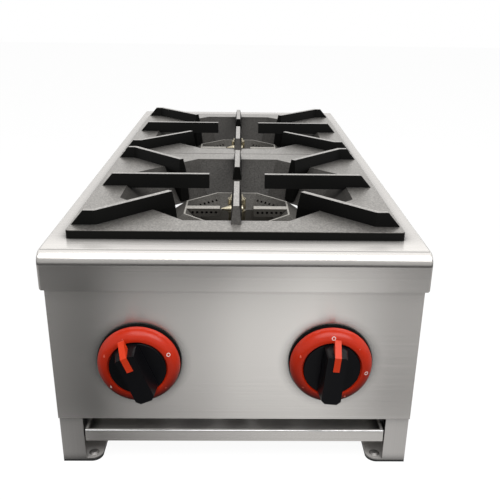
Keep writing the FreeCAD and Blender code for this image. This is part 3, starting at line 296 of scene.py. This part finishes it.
def floor_finish():
    """White for the camera with a soft shadow, dim for bounced light, and cards for mirrors."""
    material = bpy.data.materials.new("studio_floor")
    tree = tree_of(material)
    tree.nodes.clear()
    out = add(tree, "ShaderNodeOutputMaterial")
    matt = add(tree, "ShaderNodeBsdfDiffuse")
    matt_grey = blend_colours(tree, seen_directly(tree, False), grey(FLOOR_BOUNCE),
                              grey(FLOOR_WHITE))
    tree.links.new(matt_grey, matt.inputs["Color"])
    glow = add(tree, "ShaderNodeEmission", Color=(*WHITE, 1), Strength=FLOOR_GLOW)
    mirror = add(tree, "ShaderNodeEmission", Strength=1.0)
    tree.links.new(mirrored_floor(tree), mirror.inputs["Color"])
    share = math_node(tree, "MULTIPLY", seen_directly(tree, False), FLOOR_SHARE)
    plain = mixed_shaders(tree, share, matt, glow)
    path = add(tree, "ShaderNodeLightPath")
    both = mixed_shaders(tree, path.outputs["Is Glossy Ray"], plain, mirror)
    tree.links.new(both.outputs[0], out.inputs["Surface"])
    return material


def nothing_selected():
    """Leaves edit mode and deselects every object."""
    if bpy.context.object and bpy.context.object.mode != "OBJECT":
        bpy.ops.object.mode_set(mode="OBJECT")
    bpy.ops.object.select_all(action="DESELECT")


nothing_selected()
bpy.ops.mesh.primitive_plane_add(size=FLOOR_SIZE, location=(0, 0, -FLOOR_DROP))
floor = bpy.context.object
floor.name = "studio_floor"
floor.data.materials.append(floor_finish())
print("floor", FLOOR_SIZE, "m wide")

# %% [markdown]
# ## Two soft lamps
# Two large round lamps stand in front and above, as softboxes do. A sun would give hard edges,
# and the photograph shows none. Their size keeps the highlights on the rolled edge wide.

# %% Lamps
# Each lamp: its place, what it is aimed at, how wide it is in metres, and its power in watts.
LAMPS = {
    "key_lamp": ((0.75, -1.0, 1.35), (0, -0.1, 0.1), 1.0, 13),
    "top_lamp": ((-0.15, -1.0, 1.6), (0, -0.1, 0.15), 1.3, 16),
}
for name, (place, target, size, power) in LAMPS.items():
    data = bpy.data.lights.new(name, "AREA")
    data.shape = "DISK"
    data.size = size
    data.energy = power
    lamp = bpy.data.objects.new(name, data)
    bpy.context.collection.objects.link(lamp)
    lamp.location = place
    aim = Vector(target) - Vector(place)
    lamp.rotation_euler = aim.to_track_quat("-Z", "Y").to_euler()
    print(name, power, "W", round(aim.length, 2), "m away")

# %% [markdown]
# ## Helpers that read a surface
# A finish changes from place to place: along the grain, on level faces, or past some point of
# the piece. An image could be wrapped round each piece instead, but noise and the piece's own
# coordinates need no unwrapping and stay sharp from close by.

# %% Surface helpers
EVENLY = (1, 1, 1)


def new_finish(name, **sockets):
    """A Principled material, its plain values set on the shader's own sockets."""
    material = bpy.data.materials.new(name)
    tree = tree_of(material)
    shader = tree.nodes["Principled BSDF"]
    for socket, value in sockets.items():
        shader.inputs[socket.replace("_", " ")].default_value = value
    return material, tree, shader


def object_noise(tree, scale, stretch=EVENLY, detail=2.0, roughness=0.5):
    """Noise on the piece's own coordinates, stretched by axis."""
    noise = add(tree, "ShaderNodeTexNoise", Scale=scale, Detail=detail, Roughness=roughness)
    tree.links.new(object_place(tree, Scale=stretch), noise.inputs["Vector"])
    return noise.outputs["Fac"]


def object_along(tree, axis, low, high):
    """0 below one place along an axis of the piece and 1 above another."""
    split = add(tree, "ShaderNodeSeparateXYZ")
    tree.links.new(object_place(tree), split.inputs[0])
    return stepped(tree, split.outputs[axis], low, high)


def upward(tree):
    """How far a face looks up: 1 where it is level and 0 where it is upright."""
    geometry = add(tree, "ShaderNodeNewGeometry")
    split = add(tree, "ShaderNodeSeparateXYZ")
    tree.links.new(geometry.outputs["Normal"], split.inputs[0])
    return split.outputs["Z"]


def facing_up(tree, low, high):
    """0 on upright faces and 1 on level ones, between the two given steepnesses."""
    return stepped(tree, upward(tree), low, high)


def bumped(tree, shader, height, strength, distance=0.0002):
    """Fine relief on a shader's normal."""
    bump = add(tree, "ShaderNodeBump", Strength=strength, Distance=distance)
    tree.links.new(height, bump.inputs["Height"])
    tree.links.new(bump.outputs["Normal"], shader.inputs["Normal"])


print("surface helpers ready")

# %% [markdown]
# ## Brushed stainless steel
# The sheet is a metal whose fine scratches all run one way. Noise that is squeezed along the
# grain gives the streaks in colour and roughness, and a wide slow noise gives the soft patches
# that hands and cloths leave. Where two sheets meet and round the dials, the Ambient Occlusion
# node lays in a painted shade, so that no corner has to be painted by hand.

# %% Stainless sheet
GRAIN_ALONG = 3.0
GRAIN_ACROSS = 900.0
STREAK_SHADE = 0.95
STREAK_SPAN = (0.3, 0.7)
PATCH_SCALE = 5.0
PATCH_SHADE = 0.95
PATCH_SPAN = (0.35, 0.65)
LEVEL_SHEET = (0.45, 0.95)
LEVEL_METAL_LOSS = 0.4
ROUGHNESS_SPREAD = 0.01
ROUGHNESS_SPAN = (0.25, 0.75)
SCRATCH_BUMP = 0.02
SCRATCH_SCATTER = 0.8
CREVICE_REACH = 0.0105
CREVICE_PAINTED_SHADE = ((0.55, 0.22), (0.94, 1.0))
# Steps from the nose of the deck, in metres, over which the painted shade of its level faces takes
# over; the strip in front is left lighter, as painted light.
DECK_LIT_STRIP = (0.012, 0.045)


def crevice_painted_shade(tree):
    """Painted shade where sheets meet and parts stand close, and 1 in the open."""
    hollow = add(tree, "ShaderNodeAmbientOcclusion", Distance=CREVICE_REACH, samples=8)
    return ramp(tree, hollow.outputs["AO"], *CREVICE_PAINTED_SHADE)


def stainless(name, colour, grain, scatter, roughness, level_painted_shade=1.0, level_roughness=0.0,
              roll_painted_reflections=None):
    """Brushed sheet; grain is the axis the scratches run along, and scatter is across them."""
    material, tree, shader = new_finish(name, Anisotropic=SCRATCH_SCATTER)
    stretch = [GRAIN_ACROSS] * 3
    stretch["XYZ".index(grain)] = GRAIN_ALONG
    scratches = object_noise(tree, 1.0, tuple(stretch), detail=3.0)
    patches = object_noise(tree, PATCH_SCALE, detail=1.0)
    streaked = ramp(tree, scratches, (STREAK_SPAN[0], tuple(c * STREAK_SHADE for c in colour)),
                    (STREAK_SPAN[1], colour))
    handled = ramp(tree, patches, (PATCH_SPAN[0], PATCH_SHADE), (PATCH_SPAN[1], 1.0))
    sheet = times(tree, streaked, handled)
    level = facing_up(tree, *LEVEL_SHEET)
    painted_shade_share = level
    if roll_painted_reflections:
        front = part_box("top_deck")[0][1]
        behind = object_along(tree, "Y", *(front + step for step in DECK_LIT_STRIP))
        painted_shade_share = math_node(tree, "MULTIPLY", level, behind)
        # Painted reflections on the rolled front: two thin dark lines and a darker underside.
        roll = blend_colours(tree, behind, ramp(tree, upward(tree), *roll_painted_reflections), grey(1.0))
        sheet = times(tree, sheet, roll)
    # Level faces take a painted shade, all but the strip at the deck's front, which stays lighter
    # as painted light.
    sheet = blend_colours(tree, painted_shade_share, sheet, times(tree, sheet, grey(level_painted_shade)))
    # Painted shade in the corners between sheets, under the deck's front and round the dials.
    sheet = times(tree, sheet, crevice_painted_shade(tree))
    tree.links.new(sheet, shader.inputs["Base Color"])
    rough = ramp(tree, scratches, (ROUGHNESS_SPAN[0], roughness - ROUGHNESS_SPREAD),
                 (ROUGHNESS_SPAN[1], roughness + ROUGHNESS_SPREAD))
    rough = math_node(tree, "ADD", rough, math_node(tree, "MULTIPLY", level, level_roughness))
    tree.links.new(rough, shader.inputs["Roughness"])
    metal_loss = math_node(tree, "MULTIPLY", level, LEVEL_METAL_LOSS)
    tree.links.new(math_node(tree, "SUBTRACT", 1.0, metal_loss), shader.inputs["Metallic"])
    across = add(tree, "ShaderNodeCombineXYZ", X=scatter[0], Y=scatter[1], Z=scatter[2])
    tree.links.new(across.outputs[0], shader.inputs["Tangent"])
    bumped(tree, shader, scratches, SCRATCH_BUMP)
    return material


print("scratches", GRAIN_ACROSS / GRAIN_ALONG, "times as long as they are wide")

# %% [markdown]
# ## Steel on the deck, the panels and the legs
# The deck and the panels are brushed from side to side, and the legs up and down, so each group
# gets its own sheet. The deck's front is rolled over. Its two thin dark lines and its darker
# underside are painted reflections, a ramp over how far the face looks up.

# %% The three sheets
SHEET_STEEL = (0.84, 0.81, 0.775)
LEG_STEEL = (0.84, 0.81, 0.78)
# Each step of the roll's painted reflections: how far the face looks up, from upright to level, and
# how pale it is.
ROLL_PAINTED_REFLECTIONS = ((0.0, 1.0), (0.015, 0.62), (0.10, 0.47), (0.25, 0.45), (0.44, 0.48), (0.52, 0.60),
               (0.58, 1.0), (0.66, 1.0), (0.71, 0.35), (0.75, 0.75), (0.95, 0.85), (0.982, 0.38),
               (0.997, 1.0))


def give(material, *names):
    """Puts one finish on the named solids."""
    for name in names:
        mesh = nodes[name].data
        mesh.materials.clear()
        mesh.materials.append(material)


deck_steel = stainless("deck_stainless", SHEET_STEEL, "X", (0, 1, 1), roughness=0.19,
                       level_painted_shade=0.80, level_roughness=0.08, roll_painted_reflections=ROLL_PAINTED_REFLECTIONS)
panel_steel = stainless("panel_stainless", SHEET_STEEL, "X", (0, 1, 1), roughness=0.25)
leg_steel = stainless("leg_stainless", LEG_STEEL, "Z", (1, 1, 0), roughness=0.33)
give(deck_steel, "top_deck")
give(panel_steel, "front_panel", "drip_tray", "rear_panel")
give(leg_steel, "left_side_panel", "right_side_panel")
print("sheets", [sheet.name for sheet in (deck_steel, panel_steel, leg_steel)])

# %% [markdown]
# ## Cast iron
# The grates are enamelled black castings and the burners bare iron. By the slope of each face
# they get painted light and shade: nearly black upright, and a grainy grey on what faces up,
# which is partly dust. Their ports and inner corners get painted shade, with soot in the burner
# ports. Painting the faces one by one would be slow, so the surface normal tells them apart,
# whatever the view.

# %% Castings
SOOT_AND_SHADE_START = (0.30, 0.08)
SPECKS = ((0.34, 0.55), (0.54, 1.0), (0.72, 1.50))
LEVEL_IRON = (0.80, 1.0)
SLOPED_IRON = (0.30, 0.62)
WORN_AND_LIT_STEPS = (-0.0006, 0.0002)
IRON_SHINE = 0.05
IRON_ROUGHNESS_SPREAD = 0.04
IRON_BUMP = 0.3
IRON_RELIEF = 0.0003


def soot_and_painted_shade(tree, reach, full):
    """Painted shade in the ports and inner corners of a casting, with soot in the burner ports, and
    1 where it is open enough.
    """
    hollow = add(tree, "ShaderNodeAmbientOcclusion", Distance=reach, samples=8, only_local=True)
    return ramp(tree, hollow.outputs["AO"], SOOT_AND_SHADE_START, (full, 1.0))


def casting(name, upright, sloped, level, worn_and_lit, worn_and_lit_from, speck_scale, roughness, metal,
            soot_shade_reach, soot_shade_full):
    """Iron in painted light and shade by slope: dark upright, grainy on slopes, dull metal where
    level, and pale tops from wear and a painted highlight.
    """
    material, tree, shader = new_finish(name, Specular_IOR_Level=IRON_SHINE)
    grain = object_noise(tree, speck_scale, detail=4.0, roughness=0.7)
    above = object_along(tree, "Z", *(worn_and_lit_from + step for step in WORN_AND_LIT_STEPS))
    specks = ramp(tree, grain, *SPECKS)
    level_share = facing_up(tree, *LEVEL_IRON)
    # Pale tops, partly wear and partly a painted highlight.
    top = blend_colours(tree, level_share, sloped, blend_colours(tree, above, level, worn_and_lit))
    top = times(tree, top, specks)
    # Painted light and shade by slope: upright faces dark, faces looking up grey.
    colour = blend_colours(tree, facing_up(tree, *SLOPED_IRON), upright, top)
    # Painted shade in ports and inner corners, with soot in the burner ports.
    colour = times(tree, colour, soot_and_painted_shade(tree, soot_shade_reach, soot_shade_full))
    tree.links.new(colour, shader.inputs["Base Color"])
    tree.links.new(math_node(tree, "MULTIPLY", level_share, metal), shader.inputs["Metallic"])
    rough = ramp(tree, grain, (0.3, roughness - IRON_ROUGHNESS_SPREAD),
                 (0.7, roughness + IRON_ROUGHNESS_SPREAD))
    tree.links.new(rough, shader.inputs["Roughness"])
    bumped(tree, shader, grain, IRON_BUMP, IRON_RELIEF)
    return material


print("iron turns pale over the last", -WORN_AND_LIT_STEPS[0], "m below its worn tops")

# %% Grates and burners
GRATE_WEAR_AND_LIGHT_DEPTH = 0.002
RIM_WEAR_AND_LIGHT_DEPTH = 0.001
grate_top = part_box("front_grate")[1][2]
rim_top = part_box("front_burner")[1][2]
grate_iron = casting(
    "grate_iron", upright=(0.005, 0.005, 0.0047), sloped=(0.060, 0.057, 0.053),
    level=(0.38, 0.363, 0.34), worn_and_lit=(0.50, 0.48, 0.455), worn_and_lit_from=grate_top - GRATE_WEAR_AND_LIGHT_DEPTH,
    speck_scale=700.0, roughness=0.34, metal=0.85, soot_shade_reach=0.016, soot_shade_full=0.92)
burner_iron = casting(
    "burner_iron", upright=(0.06, 0.056, 0.05), sloped=(0.10, 0.095, 0.087),
    level=(0.22, 0.205, 0.19), worn_and_lit=(0.50, 0.48, 0.44), worn_and_lit_from=rim_top - RIM_WEAR_AND_LIGHT_DEPTH,
    speck_scale=800.0, roughness=0.45, metal=0.4, soot_shade_reach=0.005, soot_shade_full=0.75)
give(grate_iron, "front_grate", "rear_grate")
give(burner_iron, "front_burner", "rear_burner")
print("grate tops at", round(grate_top, 4), "m, burner rims at", round(rim_top, 4), "m")

# %% [markdown]
# ## Brass, zinc, aluminium, rubber and plastics
# The small parts have their own metals and plastics. A flat colour would look like a toy, so
# each gets a faint mottling in colour and in shine, from one noise. One helper serves them all.

# %% Small finishes
CLOUD_SPAN = (0.3, 0.7)
SHINE_SPREAD = 0.08


def mottled(name, colour, metallic, roughness, spread=0.85, scale=60.0, strength=0.08, **more):
    """One colour with soft clouds that run down to its spread."""
    material, tree, shader = new_finish(name, Metallic=metallic, **more)
    cloud = object_noise(tree, scale, detail=3.0)
    shade = ramp(tree, cloud, (CLOUD_SPAN[0], tuple(c * spread for c in colour)),
                 (CLOUD_SPAN[1], colour))
    tree.links.new(shade, shader.inputs["Base Color"])
    rough = ramp(tree, cloud, (CLOUD_SPAN[0], roughness),
                 (CLOUD_SPAN[1], min(1.0, roughness + SHINE_SPREAD)))
    tree.links.new(rough, shader.inputs["Roughness"])
    bumped(tree, shader, cloud, strength)
    return material


brass = mottled("brass", (0.60, 0.54, 0.40), 1.0, 0.28)
zinc = mottled("zinc_plate", (0.52, 0.53, 0.54), 1.0, 0.38, spread=0.8, scale=90.0)
aluminium = mottled("aluminium_tube", (0.72, 0.72, 0.73), 1.0, 0.32)
black_pipe = mottled("black_pipe", (0.035, 0.035, 0.036), 0.0, 0.45)
pad_rubber = mottled("pad_rubber", (0.02, 0.02, 0.02), 0.0, 0.8, spread=0.7, scale=200.0,
                     strength=0.3)
bright_steel = mottled("bright_steel", (0.75, 0.75, 0.75), 1.0, 0.2)
knob_black = mottled("knob_black", (0.004, 0.004, 0.005), 0.0, 0.28, spread=0.8, scale=900.0,
                     strength=0.05, Specular_IOR_Level=0.10)
dial_black = mottled("dial_black", (0.004, 0.004, 0.004), 0.0, 0.6, spread=0.8, scale=900.0,
                     strength=0.05, Specular_IOR_Level=0.02)
rivet_steel = mottled("rivet_steel", (0.30, 0.29, 0.28), 1.0, 0.55)
pointer_red = mottled("pointer_red", (0.60, 0.038, 0.008), 0.0, 0.30, spread=0.95, scale=700.0,
                      strength=0.05, Specular_IOR_Level=0.2)
print("finishes so far", len(bpy.data.materials))

# %% [markdown]
# ## The red rings
# The dial rings are glossy moulded plastic. Their lower halves look down, so they get a
# painted shade and hardly shine there, and the colour and the shine both follow the face's slope.

# %% Red rings
RING_SHADE = (-0.75, 0.25)
RING_SHINE = 0.22
RING_PAINTED_SHADE = (0.05, 0.006, 0.005)
RING_REDS = ((0.3, (0.45, 0.021, 0.005)), (0.7, (0.48, 0.024, 0.006)))

dial_red, ring_tree, ring_shader = new_finish("dial_red", Roughness=0.26)
ring_cloud = object_noise(ring_tree, 700.0)
ring_lit = facing_up(ring_tree, *RING_SHADE)
# Painted shade on the lower halves of the rings, which look down.
ring_colour = blend_colours(ring_tree, ring_lit, RING_PAINTED_SHADE, ramp(ring_tree, ring_cloud, *RING_REDS))
ring_tree.links.new(ring_colour, ring_shader.inputs["Base Color"])
ring_shine = math_node(ring_tree, "MULTIPLY", ring_lit, RING_SHINE)
ring_tree.links.new(ring_shine, ring_shader.inputs["Specular IOR Level"])
bumped(ring_tree, ring_shader, ring_cloud, 0.03)
print(dial_red.name, len(ring_tree.nodes), "nodes")

# %% [markdown]
# ## Which solid gets which finish
# The parts come in pairs, front and rear or left and right, so a loop over each pair hands the
# finishes out once for both, and the two of a pair can't end up different.

# %% Hand the finishes out
for end in ("front", "rear"):
    give(brass, end + "_pilot_post", end + "_pilot_nozzle", end + "_injector")
    give(zinc, end + "_burner_rail", end + "_injector_bracket", end + "_air_shutter")
    give(aluminium, end + "_gas_tube", end + "_pilot_tube")
for side in ("left", "right"):
    give(brass, side + "_valve_body", side + "_valve_plug", side + "_valve_stem")
    give(zinc, side + "_valve_bonnet", side + "_tray_runner")
    give(pad_rubber, side + "_foot_pad")
    give(knob_black, side + "_knob")
    give(dial_black, side + "_dial_base")
    give(dial_red, side + "_dial_ring")
    give(pointer_red, side + "_knob_pointer")
give(brass, "gas_inlet", "pilot_valves", "tube_nuts")
give(black_pipe, "gas_manifold")
give(zinc, "manifold_brackets")
give(bright_steel, "rear_panel_screws", "bonnet_screws")
give(rivet_steel, "pad_rivets")
print("solids without a finish", [name for name in nodes if not nodes[name].data.materials])

# %% [markdown]
# ## Helpers for the small pieces
# Each small piece starts as a primitive, with nothing else selected, because an operator acts on
# all that is selected. It is then shaped in edit mode, where faces are picked by their place or
# normal. Its place goes into the mesh at the end, so that its object sits at the origin.

# %% Piece helpers
def shaped(build, finish, name):
    """Adds one primitive with nothing else selected, names it and gives it a finish."""
    nothing_selected()
    build()
    piece = bpy.context.object
    piece.name = name
    piece.data.materials.append(finish)
    return piece


def select_only(piece):
    """Selects one piece and makes it the active one."""
    nothing_selected()
    piece.select_set(True)
    bpy.context.view_layer.objects.active = piece


def edit_where(piece, chosen, operate, kind="FACE"):
    """Selects faces, or points, by place or normal, and runs one edit-mode operator on them."""
    select_only(piece)
    bpy.ops.object.mode_set(mode="EDIT")
    bpy.ops.mesh.select_mode(type=kind)
    bpy.ops.mesh.select_all(action="DESELECT")
    bpy.ops.object.mode_set(mode="OBJECT")
    for element in (piece.data.polygons if kind == "FACE" else piece.data.vertices):
        element.select = chosen(element)
    bpy.ops.object.mode_set(mode="EDIT")
    operate()
    bpy.ops.object.mode_set(mode="OBJECT")


def resized(*value):
    """A resize about the origin, for edit_where to run."""
    return lambda: bpy.ops.transform.resize(value=value, center_override=(0, 0, 0))


def is_end(face):
    """True for the faces at the two ends of a piece that lies along X."""
    return abs(face.normal.x) > 0.9


def applied(piece):
    """Bakes the place and turn of a piece into its mesh."""
    select_only(piece)
    bpy.ops.object.transform_apply(location=True, rotation=True, scale=True)
    return piece


def copy_of(piece):
    """A copy with its own mesh."""
    twin = piece.copy()
    twin.data = piece.data.copy()
    bpy.context.collection.objects.link(twin)
    return twin


def joined(pieces, name):
    """One named piece from several."""
    nothing_selected()
    for piece in pieces:
        piece.select_set(True)
    bpy.context.view_layer.objects.active = pieces[0]
    bpy.ops.object.join()
    whole = bpy.context.object
    whole.name = name
    whole.data.name = name
    return whole


def dressed(piece, body="body"):
    """Hands a finished piece to its body."""
    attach(piece, body)
    print(piece.name, len(piece.data.polygons), "faces")


print("piece helpers ready")

# %% [markdown]
# ## Marks on the dials
# Each dial ring carries small printed signs: round ones, sparks and flames. They could be a
# picture on the ring, but as thin pieces they stay sharp.
# Each kind is modelled once, lying at the origin and facing the front.

# %% Round sign
ROUND_SIGN_RADIUS = 0.00135
ROUND_SIGN_LINE = 0.0003
mark_white = mottled("mark_white", (0.80, 0.66, 0.62), 0.0, 0.5, spread=0.9, scale=900.0)

round_sign = shaped(lambda: bpy.ops.mesh.primitive_torus_add(
    major_radius=ROUND_SIGN_RADIUS, minor_radius=ROUND_SIGN_LINE, major_segments=28,
    minor_segments=8, rotation=(math.pi / 2, 0, 0)), mark_white, "round_sign")
applied(round_sign)
edit_where(round_sign, lambda point: True, resized(1, 0.6, 1), "VERT")
print("round sign", len(round_sign.data.polygons), "faces")

# %% Spark sign
SPARK_THICKNESS = 0.00025
SPARK_TURNS = (30, 90, 150)
mark_faint = mottled("mark_faint", (0.62, 0.10, 0.06), 0.0, 0.5, spread=0.9, scale=900.0)

strokes = []
for turn in SPARK_TURNS:
    stroke = shaped(lambda: bpy.ops.mesh.primitive_cube_add(size=SPARK_THICKNESS), mark_faint,
                    "spark_stroke")
    stroke.scale = (8.0, 1.0, 1.6)
    applied(stroke)
    edit_where(stroke, is_end, resized(1, 1, 0.35))
    stroke.rotation_euler = (0, math.radians(turn), 0)
    strokes.append(applied(stroke))
spark_sign = joined(strokes, "spark_sign")
print("spark sign", len(spark_sign.data.polygons), "faces")

# %% Flame sign
FLAME_RADIUS = 0.001
FLAME_TIP_FROM = 0.0002

flame_sign = shaped(lambda: bpy.ops.mesh.primitive_uv_sphere_add(
    segments=16, ring_count=8, radius=FLAME_RADIUS), mark_faint, "flame_sign")
edit_where(flame_sign, lambda point: point.co.z > FLAME_TIP_FROM, resized(0.55, 0.55, 1.8), "VERT")
flame_sign.scale = (0.9, 0.25, 1.0)
applied(flame_sign)
print("flame sign", len(flame_sign.data.polygons), "faces")

# %% [markdown]
# ## Setting the signs on the rings
# The rings are domed, so a sign set by hand would sink in or float. Instead a ray is sent back
# from in front of the ring, and a copy of the sign is set where the ray meets it, turned to the
# slope that it finds there.

# %% Signs on both rings
DIAL_SIGN_RADIUS = 0.0282
RAY_START = 0.05
STRAIGHT_BACK = Vector((0, 1, 0))
# Each sign: its angle round the dial, in degrees from the right, its kind and its colour.
DIAL_SIGNS = {
    "left": ((27, round_sign, mark_white), (112, spark_sign, mark_faint),
             (157, flame_sign, mark_faint), (218, flame_sign, mark_white),
             (321, spark_sign, mark_faint)),
    "right": ((90, round_sign, mark_white), (41, spark_sign, mark_faint),
              (353, round_sign, mark_white), (156, flame_sign, mark_faint),
              (217, spark_sign, mark_faint), (295, flame_sign, mark_faint)),
}
for side, signs in DIAL_SIGNS.items():
    ring = nodes[side + "_dial_ring"]
    low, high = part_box(side + "_dial_ring")
    middle = Vector(((low[0] + high[0]) / 2, low[1] - RAY_START, (low[2] + high[2]) / 2))
    placed = []
    for angle, sign, finish in signs:
        turn = math.radians(angle)
        start = middle + Vector((math.cos(turn), 0, math.sin(turn))) * DIAL_SIGN_RADIUS
        _, spot, normal, _ = ring.ray_cast(start, STRAIGHT_BACK)
        twin = copy_of(sign)
        twin.data.materials[0] = finish
        twin.rotation_euler = normal.to_track_quat("-Y", "Z").to_euler()
        twin.location = spot
        placed.append(applied(twin))
    dressed(joined(placed, side + "_dial_signs"))
for sign in (round_sign, spark_sign, flame_sign):
    bpy.data.objects.remove(sign)

# %% [markdown]
# ## Folded edge of the drip tray
# The tray's front edge is folded over, and the fine round bead along the fold catches the light.
# A bevel on the tray itself would touch the CAD solid, so the bead is a thin bar of its own. Its
# ends are drawn in a little, as the fold's corners are.

# %% Tray bead
BEAD_RADIUS = 0.0006
BEAD_SUNK = 0.6
BEAD_END_INSET = BEAD_RADIUS / 3

tray_low, tray_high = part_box("drip_tray")
bead = shaped(lambda: bpy.ops.mesh.primitive_cylinder_add(
    vertices=24, radius=BEAD_RADIUS, depth=tray_high[0] - tray_low[0] - BEAD_RADIUS,
    rotation=(0, math.pi / 2, 0)), bright_steel, "drip_tray_bead")
applied(bead)
edit_where(bead, is_end, lambda: bpy.ops.mesh.inset(thickness=BEAD_END_INSET,
                                                    depth=BEAD_END_INSET))
bead.location = ((tray_low[0] + tray_high[0]) / 2, tray_low[1] + BEAD_RADIUS * BEAD_SUNK,
                 tray_high[2] - BEAD_RADIUS * BEAD_SUNK)
applied(bead)
bpy.ops.object.shade_smooth_by_angle(angle=math.radians(40))
dressed(bead, "drip_tray")

# %% [markdown]
# ## Thread on the gas inlet
# The inlet's end carries a half-inch gas thread, which the CAD solid leaves as a plain cylinder.
# Rings side by side would look similar but would not wind, so a three-sided ridge is swept round
# by a Screw modifier, with the thread's own pitch. The ridge's two open ends are closed after.

# %% Inlet thread
THREAD_PITCH = 0.001814
THREAD_TURNS = 10
THREAD_STEPS = 40
INLET_RADIUS = 0.01065
RIDGE_RADIUS = 0.0007
RIDGE_SUNK = 0.0001
THREAD_LEAD = 0.001
SAME_POINT = 1e-6

inlet_low, inlet_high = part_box("gas_inlet")
thread = shaped(lambda: bpy.ops.mesh.primitive_circle_add(
    vertices=3, radius=RIDGE_RADIUS, fill_type="NOTHING", rotation=(0, 0, math.radians(-90)),
    location=(INLET_RADIUS - RIDGE_SUNK, 0, 0)), brass, "inlet_thread")
applied(thread)
sweep = thread.modifiers.new("sweep", "SCREW")
sweep.axis = "Y"
sweep.screw_offset = THREAD_PITCH
sweep.iterations = THREAD_TURNS
sweep.steps = THREAD_STEPS
sweep.render_steps = THREAD_STEPS
select_only(thread)
bpy.ops.object.modifier_apply(modifier="sweep")
bpy.ops.object.mode_set(mode="EDIT")
bpy.ops.mesh.select_mode(type="EDGE")
bpy.ops.mesh.select_all(action="SELECT")
bpy.ops.mesh.remove_doubles(threshold=SAME_POINT)
bpy.ops.mesh.select_all(action="DESELECT")
bpy.ops.mesh.select_non_manifold()
bpy.ops.mesh.fill()
bpy.ops.mesh.select_all(action="SELECT")
bpy.ops.mesh.normals_make_consistent(inside=False)
bpy.ops.object.mode_set(mode="OBJECT")
run = [vertex.co.y for vertex in thread.data.vertices]
print("thread runs", round(max(run) - min(run), 4), "m along the inlet")

# %% Set the thread on the inlet
thread.location = ((inlet_low[0] + inlet_high[0]) / 2, inlet_high[1] - THREAD_LEAD - max(run),
                   (inlet_low[2] + inlet_high[2]) / 2)
applied(thread)
bpy.ops.object.shade_smooth_by_angle(angle=math.radians(30))
dressed(thread)

# %% [markdown]
# ## Cross recesses in the rear screws
# The rear panel's screws have cross heads. All the heads share one solid, so their middles are
# found by gathering its points into groups, and typing the places in would break if a screw
# moved. One cross of painted shade, dark where the recess would be in shade, with drawn-in tips
# is modelled, and each head gets a copy.

# %% One cross
CROSS_REACH = 0.0032
CROSS_WIDTH = 0.0007
CROSS_DEPTH = 0.0004
# A dark painted shade that stands for the cross recess.
recess_painted_shade = mottled("recess_painted_shade", (0.03, 0.03, 0.03), 0.0, 0.7)

bars = []
for turn in (0, 90):
    bar = shaped(lambda: bpy.ops.mesh.primitive_cube_add(size=CROSS_DEPTH), recess_painted_shade,
                 "cross_bar")
    bar.scale = (CROSS_REACH / CROSS_DEPTH, 1, CROSS_WIDTH / CROSS_DEPTH)
    applied(bar)
    edit_where(bar, is_end, resized(1, 1, 0.6))
    bar.rotation_euler = (0, math.radians(turn), 0)
    bars.append(applied(bar))
cross = joined(bars, "screw_cross")
print("cross", len(cross.data.polygons), "faces")

# %% A cross on each head
CROSS_PROUD = 0.00005
HEAD_SPREAD = 0.012


def heads_of(node, spread):
    """Middles of the rear faces of one solid's separate heads, each smaller than spread."""
    groups = []
    for vertex in node.data.vertices:
        near = [group for group in groups if (group[0] - vertex.co).length < spread]
        if near:
            near[0].append(vertex.co)
        else:
            groups.append([vertex.co])
    spans = [[(min(p[i] for p in group), max(p[i] for p in group)) for i in range(3)]
             for group in groups]
    return [Vector((sum(x) / 2, y[1], sum(z) / 2)) for x, y, z in spans]


heads = heads_of(nodes["rear_panel_screws"], HEAD_SPREAD)
crosses = []
for head in heads:
    twin = copy_of(cross)
    twin.location = head + Vector((0, CROSS_PROUD - CROSS_DEPTH / 2, 0))
    crosses.append(applied(twin))
bpy.data.objects.remove(cross)
dressed(joined(crosses, "rear_screw_crosses"))
print("crosses", len(heads))
